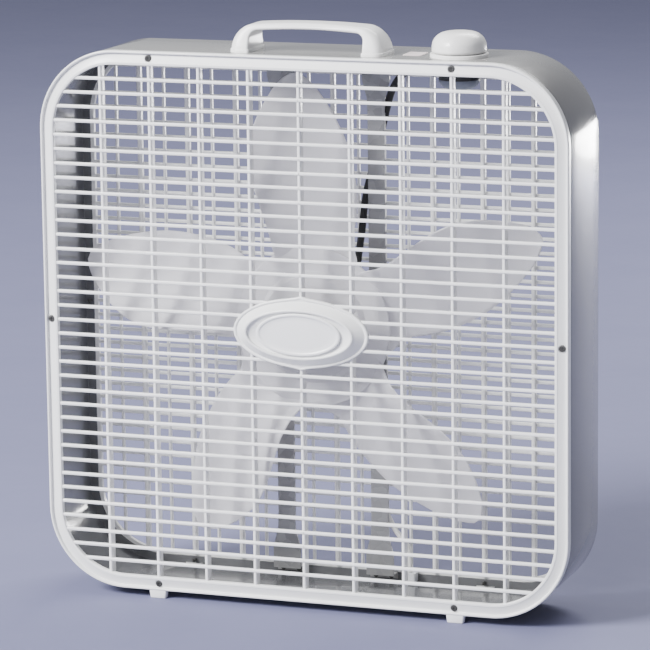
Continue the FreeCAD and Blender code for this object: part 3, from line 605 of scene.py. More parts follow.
def smooth_rows(rows: list[tuple[float, ...]], each: int) -> np.ndarray:
    """Catmull-Rom curve through rows of numbers.

    Args:
        rows: the rows it passes through.
        each: how many steps between two rows.

    Returns:
        The rows along the curve.
    """
    table = np.array(rows, float)
    padded = np.vstack([2 * table[0] - table[1], table, 2 * table[-1] - table[-2]])
    made = []
    for i in range(1, len(padded) - 2):
        p0, p1, p2, p3 = padded[i - 1:i + 3]
        for k in range(each):
            t = k / each
            made.append(0.5 * (2 * p1 + (p2 - p0) * t + (2 * p0 - 5 * p1 + 4 * p2 - p3) * t ** 2
                               + (3 * p1 - p0 - 3 * p2 + p3) * t ** 3))
    made.append(table[-1])
    return np.array(made)


class Shell:
    """Skins of one piece, gathered in millimetres from the face's centre."""

    def __init__(self, name: str) -> None:
        """Start an empty piece.

        Args:
            name: what its object will be called.
        """
        self.name = name
        self.rows: list[np.ndarray] = []
        self.faces: list[tuple[int, ...]] = []
        self.count = 0

    def _add(self, rows: np.ndarray) -> int:
        """Add points.

        Args:
            rows: the points, in millimetres.

        Returns:
            The number of the first.
        """
        first = self.count
        self.rows.append(np.asarray(rows, float))
        self.count += len(rows)
        return first

    def loft(self, rings: list[np.ndarray], looped: bool = False) -> "Shell":
        """Skin a row of closed rings.

        Args:
            rings: the rings, each with as many points as the next.
            looped: join the last ring to the first; if not, both ends are closed.

        Returns:
            The shell itself.
        """
        size = len(rings[0])
        first = self._add(np.vstack(rings))
        for i in range(len(rings) if looped else len(rings) - 1):
            a = first + i * size
            b = first + (i + 1) % len(rings) * size
            self.faces += [(a + k, a + (k + 1) % size, b + (k + 1) % size, b + k) for k in range(size)]
        if not looped:
            for ring, start in ((rings[0], first), (rings[-1], first + (len(rings) - 1) * size)):
                hub = self._add(ring.mean(axis=0)[None, :])
                self.faces += [(hub, start + k, start + (k + 1) % size) for k in range(size)]
        return self

    def build(self, sharp: float = 38.0, placed: bool = True) -> bpy.types.Object:
        """Make the object.

        Args:
            sharp: edges that turn by more than this many degrees stay crisp.
            placed: put it where it belongs on the fan; if not, it stays round its own origin.

        Returns:
            An object at the origin, with its place in its mesh.
        """
        rows = np.vstack(self.rows) * MM
        if placed:
            rows = rows + np.array(ORIGIN)
        mesh = bpy.data.meshes.new(self.name)
        mesh.from_pydata(rows.tolist(), [], self.faces)
        made = bpy.data.objects.new(self.name, mesh)
        bpy.context.scene.collection.objects.link(made)
        tidy(made, sharp)
        return made


def tidy(piece: bpy.types.Object, sharp: float = 38.0) -> None:
    """Merge doubles, point faces outwards and shade smoothly between crisp edges.

    Args:
        piece: the object whose mesh is tidied.
        sharp: angle in degrees past which an edge stays crisp.
    """
    work = bmesh.new()
    work.from_mesh(piece.data)
    bmesh.ops.remove_doubles(work, verts=work.verts, dist=MERGE_DISTANCE)
    bmesh.ops.dissolve_degenerate(work, edges=work.edges, dist=SLIVER_EDGE)
    bmesh.ops.recalc_face_normals(work, faces=work.faces)
    work.to_mesh(piece.data)
    work.free()
    piece.data.shade_smooth()
    piece.data.set_sharp_from_angle(angle=math.radians(sharp))


def bake(piece: bpy.types.Object, sharp: float = 38.0) -> bpy.types.Object:
    """Turn a piece with modifiers into a plain mesh and drop the modifiers.

    Args:
        piece: the object with its modifiers.
        sharp: angle in degrees past which an edge stays crisp.

    Returns:
        The same object.
    """
    graph = bpy.context.evaluated_depsgraph_get()
    mesh = bpy.data.meshes.new_from_object(piece.evaluated_get(graph))
    piece.modifiers.clear()
    piece.data = mesh
    tidy(piece, sharp)
    return piece


def cut_away(piece: bpy.types.Object, cutters: Shell, sharp: float, crossing: bool = False) -> None:
    """Cut closed shapes out of a piece.

    Args:
        piece: the object that is cut.
        cutters: the shapes taken out of it.
        sharp: angle in degrees past which an edge stays crisp.
        crossing: the cutters run through each other.
    """
    cutter = cutters.build()
    cut = piece.modifiers.new(cutter.name, "BOOLEAN")
    cut.operation = "DIFFERENCE"
    cut.solver = "EXACT"
    cut.use_self = crossing
    cut.object = cutter
    bake(piece, sharp)
    bpy.data.objects.remove(cutter)


def square_ring(half: float, depth: float, steps: int = 20) -> np.ndarray:
    """Rounded square concentric with the face.

    Args:
        half: half its width.
        depth: how far behind the front face it lies.
        steps: straight pieces in each corner.

    Returns:
        Its points.
    """
    centre = FACE.half - FACE.corner
    radius = half - centre
    rows = []
    for quarter, (sx, sz) in enumerate(((1, 1), (-1, 1), (-1, -1), (1, -1))):
        for k in range(steps + 1):
            angle = (quarter + k / steps) * math.pi / 2
            rows.append((sx * centre + radius * math.cos(angle), depth, sz * centre + radius * math.sin(angle)))
    return np.array(rows)


def round_ring(radius: float, place: Vector, turned: bool = False, count: int = 72) -> np.ndarray:
    """Circle round the fan's axis, or flat in plan.

    Args:
        radius: its radius.
        place: its centre.
        turned: lies flat, round an upright axis.
        count: how many points.

    Returns:
        Its points.
    """
    angles = np.arange(count) * 2 * math.pi / count
    one, two = radius * np.cos(angles), radius * np.sin(angles)
    flat = np.zeros(count)
    rows = np.stack([one, two, flat] if turned else [one, flat, two], axis=1)
    return rows + np.array(place)


def oval_ring(half_x: float, half_z: float, depth: float, point: float = 0.0, spread: float = 6.0,
              count: int = 128) -> np.ndarray:
    """Oval facing the user, with an optional soft point at the top and bottom.

    Args:
        half_x: half its width.
        half_z: half its height.
        depth: how far behind the front face it lies.
        point: how far the points at the top and bottom stand out.
        spread: how far to each side a point fades out.
        count: how many points.

    Returns:
        Its points.
    """
    angles = np.arange(count) * 2 * math.pi / count
    x = half_x * np.cos(angles)
    z = half_z * np.sin(angles)
    z = z + np.sign(z) * point * np.exp(-np.abs(x) / spread)
    return np.stack([x, np.full(count, depth), z], axis=1)


# Geometry Nodes


class Maker(Tree):
    """A Geometry Nodes tree with named inputs, run once on a piece."""

    KINDS = {float: "NodeSocketFloat", int: "NodeSocketInt", bpy.types.Material: "NodeSocketMaterial"}

    def __init__(self, name: str, inputs: dict[str, Any]) -> None:
        """Make the tree and its inputs.

        Args:
            name: the tree's name.
            inputs: each input's name and value.
        """
        group = bpy.data.node_groups.new(name, "GeometryNodeTree")
        super().__init__(group)
        self.values = inputs
        group.interface.new_socket("Geometry", in_out="INPUT", socket_type="NodeSocketGeometry")
        group.interface.new_socket("Geometry", in_out="OUTPUT", socket_type="NodeSocketGeometry")
        for label, value in inputs.items():
            kind = next(k for t, k in self.KINDS.items() if isinstance(value, t))
            group.interface.new_socket(label, in_out="INPUT", socket_type=kind)
        self.entry = group.nodes.new("NodeGroupInput")

    def given(self, name: str) -> Sock:
        """One of the tree's inputs."""
        return Sock(self, self.entry.outputs[name])

    def close(self, geometry: Sock) -> None:
        """End the tree in real meshes with their material.

        Args:
            geometry: what the tree has made.
        """
        real = self.out("GeometryNodeRealizeInstances", {}, {0: geometry})
        dressed = self.out("GeometryNodeSetMaterial", {}, {"Geometry": real, "Material": self.given("Finish")})
        self.node("NodeGroupOutput", {}, {0: dressed})

    def run(self, piece: bpy.types.Object, sharp: float = 38.0) -> bpy.types.Object:
        """Run the tree on a piece and keep the result as its mesh.

        Args:
            piece: the object the tree starts from.
            sharp: angle in degrees past which an edge stays crisp.

        Returns:
            The piece.
        """
        modifier = piece.modifiers.new(self.nodes.name, "NODES")
        modifier.node_group = self.nodes
        for item in self.nodes.interface.items_tree:
            if item.in_out == "INPUT" and item.name in self.values:
                modifier[item.identifier] = self.values[item.name]
        return bake(piece, sharp)


def empty_piece(name: str) -> bpy.types.Object:
    """Make an object with no mesh yet, for a tree to fill.

    Args:
        name: what it is called.

    Returns:
        The object.
    """
    made = bpy.data.objects.new(name, bpy.data.meshes.new(name))
    bpy.context.scene.collection.objects.link(made)
    return made


@dataclass
class Slats:
    """Parallel slats that cross the grille's opening and stop at its boss, in millimetres."""

    name: str
    count: int
    pitch: float
    tall: float
    front: float
    back: float
    upright: bool = False
    boss: Point = (0.01, 0.01)
    edge: float = 0.9
    bite: float = 1.4
    overlap: float = 0.3

    def build(self, finish: bpy.types.Material) -> bpy.types.Object:
        """Lay the slats with Geometry Nodes.

        Args:
            finish: their material.

        Returns:
            The slats as one mesh.
        """
        along, across = (self.boss[1], self.boss[0]) if self.upright else self.boss
        maker = Maker(self.name, {
            "Count": self.count, "Pitch": self.pitch * MM, "Tall": self.tall * MM,
            "Deep": (self.back - self.front) * MM, "Edge": self.edge * MM, "Opening": FACE.opening * MM,
            "Corner": (FACE.corner - FACE.half + FACE.opening) * MM, "Bite": self.bite * MM,
            "Boss Along": along * MM, "Boss Across": across * MM, "Overlap": self.overlap * MM, "Finish": finish,
        })
        give = maker.given
        section = maker.out("GeometryNodeCurvePrimitiveQuadrilateral", {"mode": "RECTANGLE"},
                            {"Width": give("Deep"), "Height": give("Tall")})
        section = maker.out("GeometryNodeFilletCurve", {"mode": "POLY"},
                            {"Curve": section, "Count": 3, "Radius": give("Edge")})
        line = maker.out("GeometryNodeCurvePrimitiveLine", {"mode": "POINTS"},
                         {"Start": (-0.5, 0.0, 0.0), "End": (0.5, 0.0, 0.0)})
        slat = maker.out("GeometryNodeCurveToMesh", {},
                         {"Curve": line, "Profile Curve": section, "Fill Caps": True})
        low = (give("Count") - 1.0) * give("Pitch") * -0.5
        places = maker.out("GeometryNodeMeshLine", {"mode": "OFFSET"}, {
            "Count": give("Count"), "Start Location": maker.vector(0.0, 0.0, low),
            "Offset": maker.vector(0.0, 0.0, give("Pitch"))})
        height = maker.parts(maker.out("GeometryNodeInputPosition", {}, {}))[2]
        over = (abs(height) - (give("Opening") - give("Corner"))).at_least(0.0)
        corner = (give("Corner") ** 2.0 - over ** 2.0).at_least(0.0).root()
        outer = give("Opening") - give("Corner") + corner + give("Bite")
        share = (1.0 - (abs(height) / give("Boss Across")) ** 2.0).at_least(0.0).root()
        inner = share * give("Boss Along") - give("Overlap")
        middle = (outer + inner) * 0.5
        halves = []
        for side in (1.0, -1.0):
            moved = maker.out("GeometryNodeSetPosition", {}, {
                "Geometry": places, "Offset": maker.vector(middle * side, 0.0, 0.0)})
            halves.append(maker.out("GeometryNodeInstanceOnPoints", {}, {
                "Points": moved, "Instance": slat, "Scale": maker.vector(outer - inner, 1.0, 1.0)}))
        join = maker.node("GeometryNodeJoinGeometry", {}, {0: halves[0]})
        maker.nodes.links.new(halves[1].socket, join.inputs[0])
        turn = math.pi / 2 if self.upright else 0.0
        centre = ORIGIN + Vector((0.0, (self.front + self.back) / 2 * MM, 0.0))
        placed = maker.out("GeometryNodeTransform", {}, {
            "Geometry": Sock(maker, join.outputs[0]), "Translation": centre, "Rotation": (0.0, turn, 0.0)})
        maker.close(placed)
        return maker.run(empty_piece(self.name))


# Sub-assemblies


@dataclass
class Grille:
    """A moulded grille: beaded border, slats and two feet. The front one's skirt goes round the band."""

    shop: Paintshop
    side: Side
    bars: int = 35
    bar_tall: float = 3.2
    ribs: int = 9
    rib_wide: float = 3.2
    rib_back: float = 11.2
    in_band: float = 260.3
    screw_line: float = 256.0
    screw_aside: float = 150.0
    # Radius, start and end of each screw's seat, and of its hole
    bores: tuple[tuple[float, float, float], ...] = ((3.7, -1.0, 2.9), (1.9, 2.0, 6.0))
    foot_drop: float = 8.0
    foot_front: float = 0.6
    boss: Point = (66.4, 32.2)

    def node(self) -> str:
        """The CAD node that this grille stands for."""
        return f"{self.side.value}_grille"

    def depth(self, inward: float) -> float:
        """Depth of something that lies so far inside this grille's own face."""
        return inward if self.side is Side.FRONT else FACE.depth - inward

    def section(self) -> list[Point]:
        """Outline of the border's section, with two beads and a channel between them.

        Returns:
            Half width and depth inward at each point.
        """
        inner = [(251.6, 0.0, 0.7), (FACE.opening, 0.0, 0.8), (FACE.opening, FACE.flange, 0.3)]
        if self.side is Side.REAR:
            outer = [(self.in_band, FACE.flange, 0.3), (self.in_band, 0.0, 0.6), (258.9, 0.0, 0.5),
                     (258.4, 1.4, 0.4), (252.1, 1.4, 0.5)]
            return fillet(outer + inner, 5)
        outer = [(FACE.half, FACE.skirt, 0.4), (FACE.half, 0.0, 1.6), (260.4, 0.0, 0.9), (259.6, 2.9, 0.3),
                 (252.2, 0.5, 0.5)]
        behind = [(251.4, FACE.flange, 0.3), (251.4, 3.9, 0.3), (self.in_band, 3.9, 0.3),
                  (self.in_band, FACE.skirt, 0.3)]
        return fillet(outer + inner + behind, 5)

    def border(self) -> bpy.types.Object:
        """Beaded border, bored for six screws that sit in round seats.

        Returns:
            The border.
        """
        rings = [square_ring(half, self.depth(inward)) for half, inward in self.section()]
        border = Shell(f"{self.node()}_border").loft(rings, looped=True).build(sharp=32.0)
        cutters = Shell("bores")
        for x, z in self.screws():
            for radius, start, end in self.bores:
                ends = [round_ring(radius, Vector((x, self.depth(inward), z)), count=40) for inward in (start, end)]
                cutters.loft(ends)
        cut_away(border, cutters, sharp=32.0, crossing=True)
        return border

    def screws(self) -> list[Point]:
        """Where the six screws go through the border."""
        line, aside = self.screw_line, self.screw_aside
        return [(-aside, line), (aside, line), (-aside, -line), (aside, -line), (-line, 0), (line, 0)]

    def feet(self) -> bpy.types.Object:
        """Two short tapered tabs with rounded edges.

        Returns:
            Both feet as one piece.
        """
        bottom = -FACE.half - self.foot_drop
        top = -FACE.half + (1.6 if self.side is Side.FRONT else 3.0)
        rows = [(top, 9.0, 0.0), (-FACE.half - 2.0, 8.75, 0.0), (bottom + 1.2, 7.95, 0.0),
                (bottom + 0.4, 7.8, 0.25), (bottom, 7.5, 0.9)]
        shell = Shell(f"{self.node()}_feet")
        for x in (-FACE.foot_x, FACE.foot_x):
            rings = []
            for z, half, draw in rows:
                near, far = self.foot_front + draw, FACE.skirt - draw
                outline = fillet([(-half, near, 1.6), (half, near, 1.6), (half, far, 1.6), (-half, far, 1.6)], 4)
                rings.append(np.array([(x + a, self.depth(b), z) for a, b in outline]))
            shell.loft(rings)
        return shell.build(sharp=50.0)

    def slats(self) -> list[Slats]:
        """Lay out the bars and ribs of this grille.

        Returns:
            One set for each kind of slat.
        """
        name, far = self.node(), FACE.depth
        if self.side is Side.FRONT:
            return [
                Slats(f"{name}_bars", self.bars, FACE.bar_pitch, self.bar_tall, 0.6, 4.4, boss=self.boss),
                Slats(f"{name}_ribs", self.ribs, FACE.rib_pitch, self.rib_wide, 1.2, self.rib_back, upright=True,
                      boss=self.boss, edge=1.1),
            ]
        return [
            Slats(f"{name}_bars", self.bars, FACE.bar_pitch, self.bar_tall, far - 4.4, far - 0.6),
            Slats(f"{name}_ribs", self.ribs, FACE.rib_pitch, 4.2, far - 8.2, far - 1.2, upright=True, edge=1.3),
            Slats(f"{name}_thin_ribs", self.ribs + 1, FACE.rib_pitch, 2.2, far - 6.2, far - 1.4, upright=True,
                  edge=0.7),
        ]

    def build(self) -> None:
        """Make the whole grille and set it on the housing."""
        pieces = [self.border(), self.feet()]
        pieces += [slats.build(self.shop.made["grille_plastic"]) for slats in self.slats()]
        for piece in pieces:
            self.shop.add(piece, "grille_plastic", "housing", [self.node()])


@dataclass
class Centrepiece:
    """The oval boss in the front grille and the plain badge let into it."""

    shop: Paintshop
    point: float = 2.4

    def boss(self) -> bpy.types.Object:
        """Hollow boss: flat ring, sloped wall, rounded bead and a floor.

        Returns:
            The boss.
        """
        rows = [(0.5, 0.5, -5.2, 0), (51.2, 21.0, -5.2, 0), (51.7, 21.5, -5.6, 0), (51.8, 21.6, -7.3, 0),
                (52.1, 21.9, -7.8, 0), (52.8, 22.5, -8.0, 0), (53.8, 23.4, -8.0, 0), (54.5, 24.1, -7.7, 0),
                (54.8, 24.4, -7.2, 0), (55.1, 24.7, -6.6, 0), (57.0, 25.9, -5.2, 0), (60.4, 28.1, -2.6, 0),
                (63.2, 29.9, -0.5, 0), (64.0, 30.5, 0.2, 0), (64.4, 30.8, 0.1, 1), (64.8, 31.1, -0.5, 1),
                (65.3, 31.5, -0.8, 1), (66.6, 32.5, -0.8, 1), (67.2, 33.0, -0.5, 1), (67.5, 33.2, 0.0, 1),
                (67.5, 33.2, 3.2, 1), (64.6, 30.4, 3.2, 0), (63.8, 29.8, 1.6, 0), (56.7, 25.1, -3.6, 0),
                (0.5, 0.5, -3.6, 0)]
        rings = [oval_ring(a, b, y, self.point * tip) for a, b, y, tip in rows]
        return Shell("front_grille_boss").loft(rings).build(sharp=45.0)

    def badge(self) -> bpy.types.Object:
        """Oval plate with a rounded raised rim and a slightly crowned middle.

        Returns:
            The badge.
        """
        rows = [(0.5, 0.5, -5.25), (41.6, 20.0, -5.25), (42.0, 20.4, -5.6), (42.0, 20.4, -7.1), (41.7, 20.1, -7.6),
                (41.0, 19.4, -7.8), (39.8, 18.4, -7.8), (39.0, 17.7, -7.6), (38.5, 17.3, -7.15), (37.8, 16.9, -6.95),
                (30.0, 13.2, -7.1), (18.0, 8.0, -7.25), (0.5, 0.5, -7.3)]
        rings = [oval_ring(a, b, y) for a, b, y in rows]
        return Shell("badge_plate").loft(rings).build(sharp=45.0)

    def build(self) -> None:
        """Make the boss and badge and set them on the housing."""
        self.shop.add(self.boss(), "grille_plastic", "housing", ["front_grille"])
        self.shop.add(self.badge(), "badge_plastic", "housing", ["badge"])


@dataclass
class Band:
    """The enamelled steel band: stepped in under the front skirt, straight to the rear, two flanges inside."""

    shop: Paintshop
    half: float = 261.9
    lip: float = 260.0
    sheet: float = 1.2
    flange_in: float = 252.5
    step: float = 11.5
    rear_edge: float = 0.6
    notch: float = 9.4
    notch_tall: float = 3.3
    notch_play: float = 0.3
    skin: float = 0.7

    def build(self) -> None:
        """Sweep the band's section round the rounded square."""
        t = self.sheet
        front = [(self.half, self.step, 1.0), (self.lip, self.step, 0.4), (self.lip, FACE.flange, 1.0),
                 (self.flange_in, FACE.flange, 0.5), (self.flange_in, FACE.flange + t, 0.5),
                 (self.lip - t, FACE.flange + t, 0.4), (self.lip - t, self.step + t, 0.5),
                 (self.half - t, self.step + t, 0.4)]
        back = FACE.depth - FACE.flange
        edge = FACE.depth - self.rear_edge
        rear = [(self.half - t, back - t, 0.4), (self.flange_in, back - t, 0.5), (self.flange_in, back, 0.5),
                (self.half - t, back, 0.3), (self.half - t, edge, 0.3), (self.half, edge, 0.6)]
        outline = fillet(front + rear, 4)
        rings = [square_ring(half, depth, 28) for half, depth in outline]
        piece = Shell("housing_band_shell").loft(rings, looped=True).build(sharp=32.0)
        self.cut_notches(piece)
        self.mark_painted_shade(piece)
        self.shop.add(piece, "band_enamel", "housing", ["housing_band"])

    def cut_notches(self, piece: bpy.types.Object) -> None:
        """Cut the two notches that the rear feet stand in.

        Args:
            piece: the band.
        """
        cutters = Shell("notches")
        near, far = FACE.depth - FACE.skirt - self.notch_play, FACE.depth + 1.0
        levels = (-self.half - 1.0, -FACE.half + self.notch_tall)
        for x in (-FACE.foot_x, FACE.foot_x):
            corners = [(x - self.notch, near), (x + self.notch, near), (x + self.notch, far), (x - self.notch, far)]
            cutters.loft([np.array([(a, b, z) for a, b in corners]) for z in levels])
        cut_away(piece, cutters, sharp=32.0)

    def mark_painted_shade(self, piece: bpy.types.Object) -> None:
        """Mark the points that the outside of the band doesn't show, which the enamel paints in its dark shade colour.

        Args:
            piece: the band.
        """
        centre = FACE.half - FACE.corner
        # Painted shade mask: 1 on the inner side and the step under the skirt, 0 on the outer face
        shade_marks = piece.data.attributes.new(PAINTED_SHADE_MARK, "FLOAT", "POINT")
        for index, vertex in enumerate(piece.data.vertices):
            place = (vertex.co - ORIGIN) / MM
            reach = math.hypot(max(abs(place.x) - centre, 0.0), max(abs(place.z) - centre, 0.0)) + centre
            shade_marks.data[index].value = 0.0 if reach > self.half - self.skin else 1.0


@dataclass
class Handle:
    """The carrying handle: two flared legs with a small foot and an arched grip."""

    shop: Paintshop
    half: float = 75.5
    inner: float = 56.5
    front: float = 20.0
    back: float = 64.0
    seat: float = 261.9
    foot: float = 0.9
    foot_tall: float = 3.2
    leg_round: float = 14.0
    grip_round: float = 3.4
    edge_round: float = 2.4
    # Depth of the front surface at some heights
    heights: tuple[float, ...] = (0.0, 5.0, 24.5, 26.6, 27.8, 28.5)
    fronts: tuple[float, ...] = (20.0, 20.0, 26.5, 27.5, 28.8, 31.0)
    # Three points on each arc of the outline: the outer and inner bend, and the grip's top and underside
    shoulder: tuple[Point, ...] = ((-75.5, 4.2), (-69.4, 18.6), (-53.5, 26.4))
    crook: tuple[Point, ...] = ((-56.5, 13.0), (-54.2, 18.6), (-48.0, 20.8))
    top: tuple[Point, ...] = ((-53.5, 26.4), (0.0, 28.4), (53.5, 26.4))
    underside: tuple[Point, ...] = ((-48.0, 20.8), (0.0, 22.6), (48.0, 20.8))

    def near(self, height: float) -> float:
        """Front surface's depth at a height above the band."""
        return float(np.interp(height, self.heights, self.fronts))

    def ring(self, outer: Point, inner: Point, corner: float,
             grow: float = 0.0) -> np.ndarray:
        """One section of the handle.

        Args:
            outer: its outer edge, as place along the fan and height above the band.
            inner: its inner edge.
            corner: radius of its outer corners.
            grow: how much wider it is all round.

        Returns:
            The section's points.
        """
        out, into = np.array(outer), np.array(inner)
        span = float(np.linalg.norm(out - into))
        way = (out - into) / span
        near_out, near_in = self.near(outer[1]) - grow, self.near(inner[1]) - grow
        total = self.front + self.back
        small = min(self.edge_round, span * 0.3)
        outline = fillet([(-grow, near_in, small), (span + grow, near_out, corner),
                          (span + grow, total - near_out, corner), (-grow, total - near_in, small)], 7)
        rows = [(*(into + way * along), depth) for along, depth in outline]
        return np.array([(x, depth, self.seat + z) for x, z, depth in rows])

    def build(self) -> None:
        """Loft the handle from one foot over the grip to the other."""
        flare = [(0.0, self.foot), (self.foot_tall - 0.5, self.foot), (self.foot_tall - 0.1, self.foot - 0.3),
                 (self.foot_tall, 0.1)]
        left = [((-self.half, z), (-self.inner, z), self.leg_round + grow, grow) for z, grow in flare]
        ankle = self.foot_tall + 0.3
        for k in range(4):
            left.append(((-self.half, ankle + k * 0.2), (-self.inner, ankle + k * 3.1), self.leg_round, 0.0))
        bend, half_span = 14, 12
        outer, inner = arc(*self.shoulder, bend + 1), arc(*self.crook, bend + 1)
        for k in range(1, bend + 1):
            corner = self.leg_round + (self.grip_round - self.leg_round) * (k / bend) ** 0.7
            left.append((outer[k], inner[k], corner, 0.0))
        outer, inner = arc(*self.top, 2 * half_span + 1), arc(*self.underside, 2 * half_span + 1)
        left += [(outer[k], inner[k], self.grip_round, 0.0) for k in range(1, half_span)]
        middle = [(outer[half_span], inner[half_span], self.grip_round, 0.0)]
        right = [((-a[0], a[1]), (-b[0], b[1]), corner, grow) for a, b, corner, grow in reversed(left)]
        rings = [self.ring(*row) for row in left + middle + right]
        piece = Shell("carry_handle").loft(rings).build(sharp=50.0)
        self.shop.add(piece, "handle_plastic", "housing", ["handle"])


@dataclass
class Knob:
    """The domed speed knob with its soft ridges, and the fixed ring that it turns over."""

    shop: Paintshop
    x: float = 143.5
    y: float = 47.0
    seat: float = 261.9
    ring_tall: float = 3.3
    ring_radius: float = 27.4
    gap: float = 0.5
    wide: float = 26.0
    long: float = 29.0
    tall: float = 19.8
    bore: float = 5.8

    def outline(self, scale: float, height: float, soften: int) -> np.ndarray:
        """One level of the knob: two arcs that meet in a softened point.

        Args:
            scale: its size against the knob's foot.
            height: how far it lies above the knob's foot.
            soften: how often the points are smoothed.

        Returns:
            Its points.
        """
        right = arc((0.0, -self.long * scale), (self.wide * scale, 0.0), (0.0, self.long * scale), 41)
        rows = np.array(right[:-1] + [(-a, -b) for a, b in right[:-1]])
        for _ in range(soften):
            rows = rows * 0.5 + (np.roll(rows, 1, axis=0) + np.roll(rows, -1, axis=0)) * 0.25
        z = self.seat + self.ring_tall + self.gap + height
        return np.array([(self.x + a, self.y + b, z) for a, b in rows])

    def build(self) -> None:
        """Make the knob and its ring."""
        rows = [(0.0, 0.88, 0), (0.9, 0.88, 0), (1.0, 0.965, 0), (1.4, 0.985, 0), (3.0, 0.985, 0)]
        levels = smooth_rows([(3.0, 0.985), (7.0, 0.975), (11.0, 0.935), (15.0, 0.83), (17.8, 0.68), (19.2, 0.50),
                              (19.7, 0.32), (self.tall, 0.12)], 4)
        rows += [(z, scale, int(4 * z / self.tall)) for z, scale in levels[1:]]
        rings = [self.outline(scale, z, soften) for z, scale, soften in rows]
        knob = Shell("speed_knob_cap").loft(rings).build(sharp=60.0)
        self.shop.add(knob, "knob_plastic", "speed_knob", ["knob"])
        outline = fillet([(self.ring_radius, 0.0, 0.0), (self.ring_radius, self.ring_tall, 0.9),
                          (self.bore, self.ring_tall, 0.3), (self.bore, 0.0, 0.0)], 5)
        rings = [round_ring(radius, Vector((self.x, self.y, self.seat + z)), turned=True, count=96)
                 for radius, z in outline]
        ring = Shell("speed_knob_ring").loft(rings, looped=True).build(sharp=40.0)
        self.shop.add(ring, "knob_plastic", "housing", ["knob_bezel"])


@dataclass
class Impeller:
    """Hub and five swept blades."""

    shop: Paintshop
    count: int = 5
    thick: float = 2.4
    bow: float = 0.055
    shaft: float = 4.06
    disc: float = 77.5
    sections: list[tuple[float, ...]] = field(default_factory=lambda: [
        (58.0, -37.0, 44.0, 34.4, 35.6), (66.0, -37.5, 44.0, 33.0, 38.0), (75.0, -37.5, 39.5, 28.0, 43.0),
        (86.0, -37.5, 36.0, 22.0, 48.0), (102.0, -40.5, 38.8, 17.0, 51.5), (122.0, -46.8, 39.7, 15.5, 53.0),
        (142.0, -53.4, 37.8, 16.0, 53.5), (162.0, -57.4, 33.9, 19.0, 53.5), (182.0, -57.0, 26.8, 24.5, 53.5),
        (202.0, -51.8, 16.6, 31.5, 53.0), (217.0, -45.0, 7.2, 38.0, 52.5), (228.0, -38.8, -1.2, 42.5, 52.0),
        (236.0, -31.5, -10.0, 46.0, 51.0), (240.5, -24.5, -17.0, 48.0, 50.0)])

    def blade_ring(self, row: np.ndarray, count: int = 15) -> np.ndarray:
        """Section across one blade: bowed, and rounded at both edges.

        Args:
            row: height, left and right edge, and the depth of each.
            count: points from edge to edge.

        Returns:
            The section's points.
        """
        height, left, right, near, far = row
        share = (1 - np.cos(np.linspace(0, math.pi, count))) / 2
        across = left + (right - left) * share
        mean = near + (far - near) * share + self.bow * (right - left) * 4 * share * (1 - share)
        edge = np.minimum(share, 1 - share) * abs(right - left)
        half = self.thick / 2 * np.sqrt(np.clip(1 - (1 - np.clip(edge / 2.0, 0, 1)) ** 2, 0.0, 1))
        front = np.stack([across, mean - half, np.full(count, height)], axis=1)
        rear = np.stack([across, mean + half, np.full(count, height)], axis=1)
        return np.vstack([front, rear[::-1][1:-1]])

    def blades(self) -> bpy.types.Object:
        """One blade, set round the axis by Geometry Nodes.

        Returns:
            All the blades as one mesh.
        """
        rows = smooth_rows(self.sections, 4)
        one = Shell("impeller_blades").loft([self.blade_ring(row) for row in rows]).build(placed=False)
        maker = Maker("blade_round", {"Count": self.count, "Finish": self.shop.made["blade_plastic"]})
        places = maker.out("GeometryNodePoints", {}, {"Count": maker.given("Count"), "Position": ORIGIN})
        index = maker.out("GeometryNodeInputIndex", {}, {})
        angle = index * (2 * math.pi) / maker.given("Count")
        set_round = maker.out("GeometryNodeInstanceOnPoints", {}, {
            "Points": places, "Instance": maker.given("Geometry"), "Rotation": maker.vector(0.0, angle, 0.0)})
        maker.close(set_round)
        return maker.run(one, sharp=40.0)

    def hub(self) -> bpy.types.Object:
        """Disc with a raised middle, a boss on the shaft and a stiffening ring behind.

        Returns:
            The hub.
        """
        outline = fillet([
            (self.shaft, 29.1, 0.3), (49.6, 29.1, 1.8), (54.2, 33.5, 1.6), (self.disc, 33.5, 1.2),
            (self.disc, 36.5, 1.2),
            (52.5, 36.5, 1.0), (52.5, 42.5, 0.7), (50.0, 42.5, 0.7), (50.0, 35.0, 0.8), (47.5, 31.9, 1.2),
            (10.0, 31.9, 1.0), (10.0, 40.5, 0.5), (self.shaft, 40.5, 0.3)], 5)
        rings = [round_ring(radius, Vector((0.0, depth, 0.0))) for radius, depth in outline]
        return Shell("impeller_hub").loft(rings, looped=True).build(sharp=40.0)

    def build(self) -> None:
        """Make the impeller and set it on its body."""
        for piece in (self.blades(), self.hub()):
            self.shop.add(piece, "blade_plastic", "impeller", ["fan_blade"])


@dataclass
class Lamp:
    """One soft light."""

    name: str
    place: Vector
    aim: Vector
    wide: float
    tall: float
    watts: float

    def build(self) -> None:
        """Hang the light and point it."""
        data = bpy.data.lights.new(self.name, "AREA")
        data.shape = "RECTANGLE"
        data.size, data.size_y = self.wide, self.tall
        data.energy = self.watts
        made = bpy.data.objects.new(self.name, data)
        made.location = self.place
        made.visible_camera = False
        made.rotation_euler = (self.aim - self.place).to_track_quat("-Z", "Y").to_euler()
        bpy.context.scene.collection.objects.link(made)


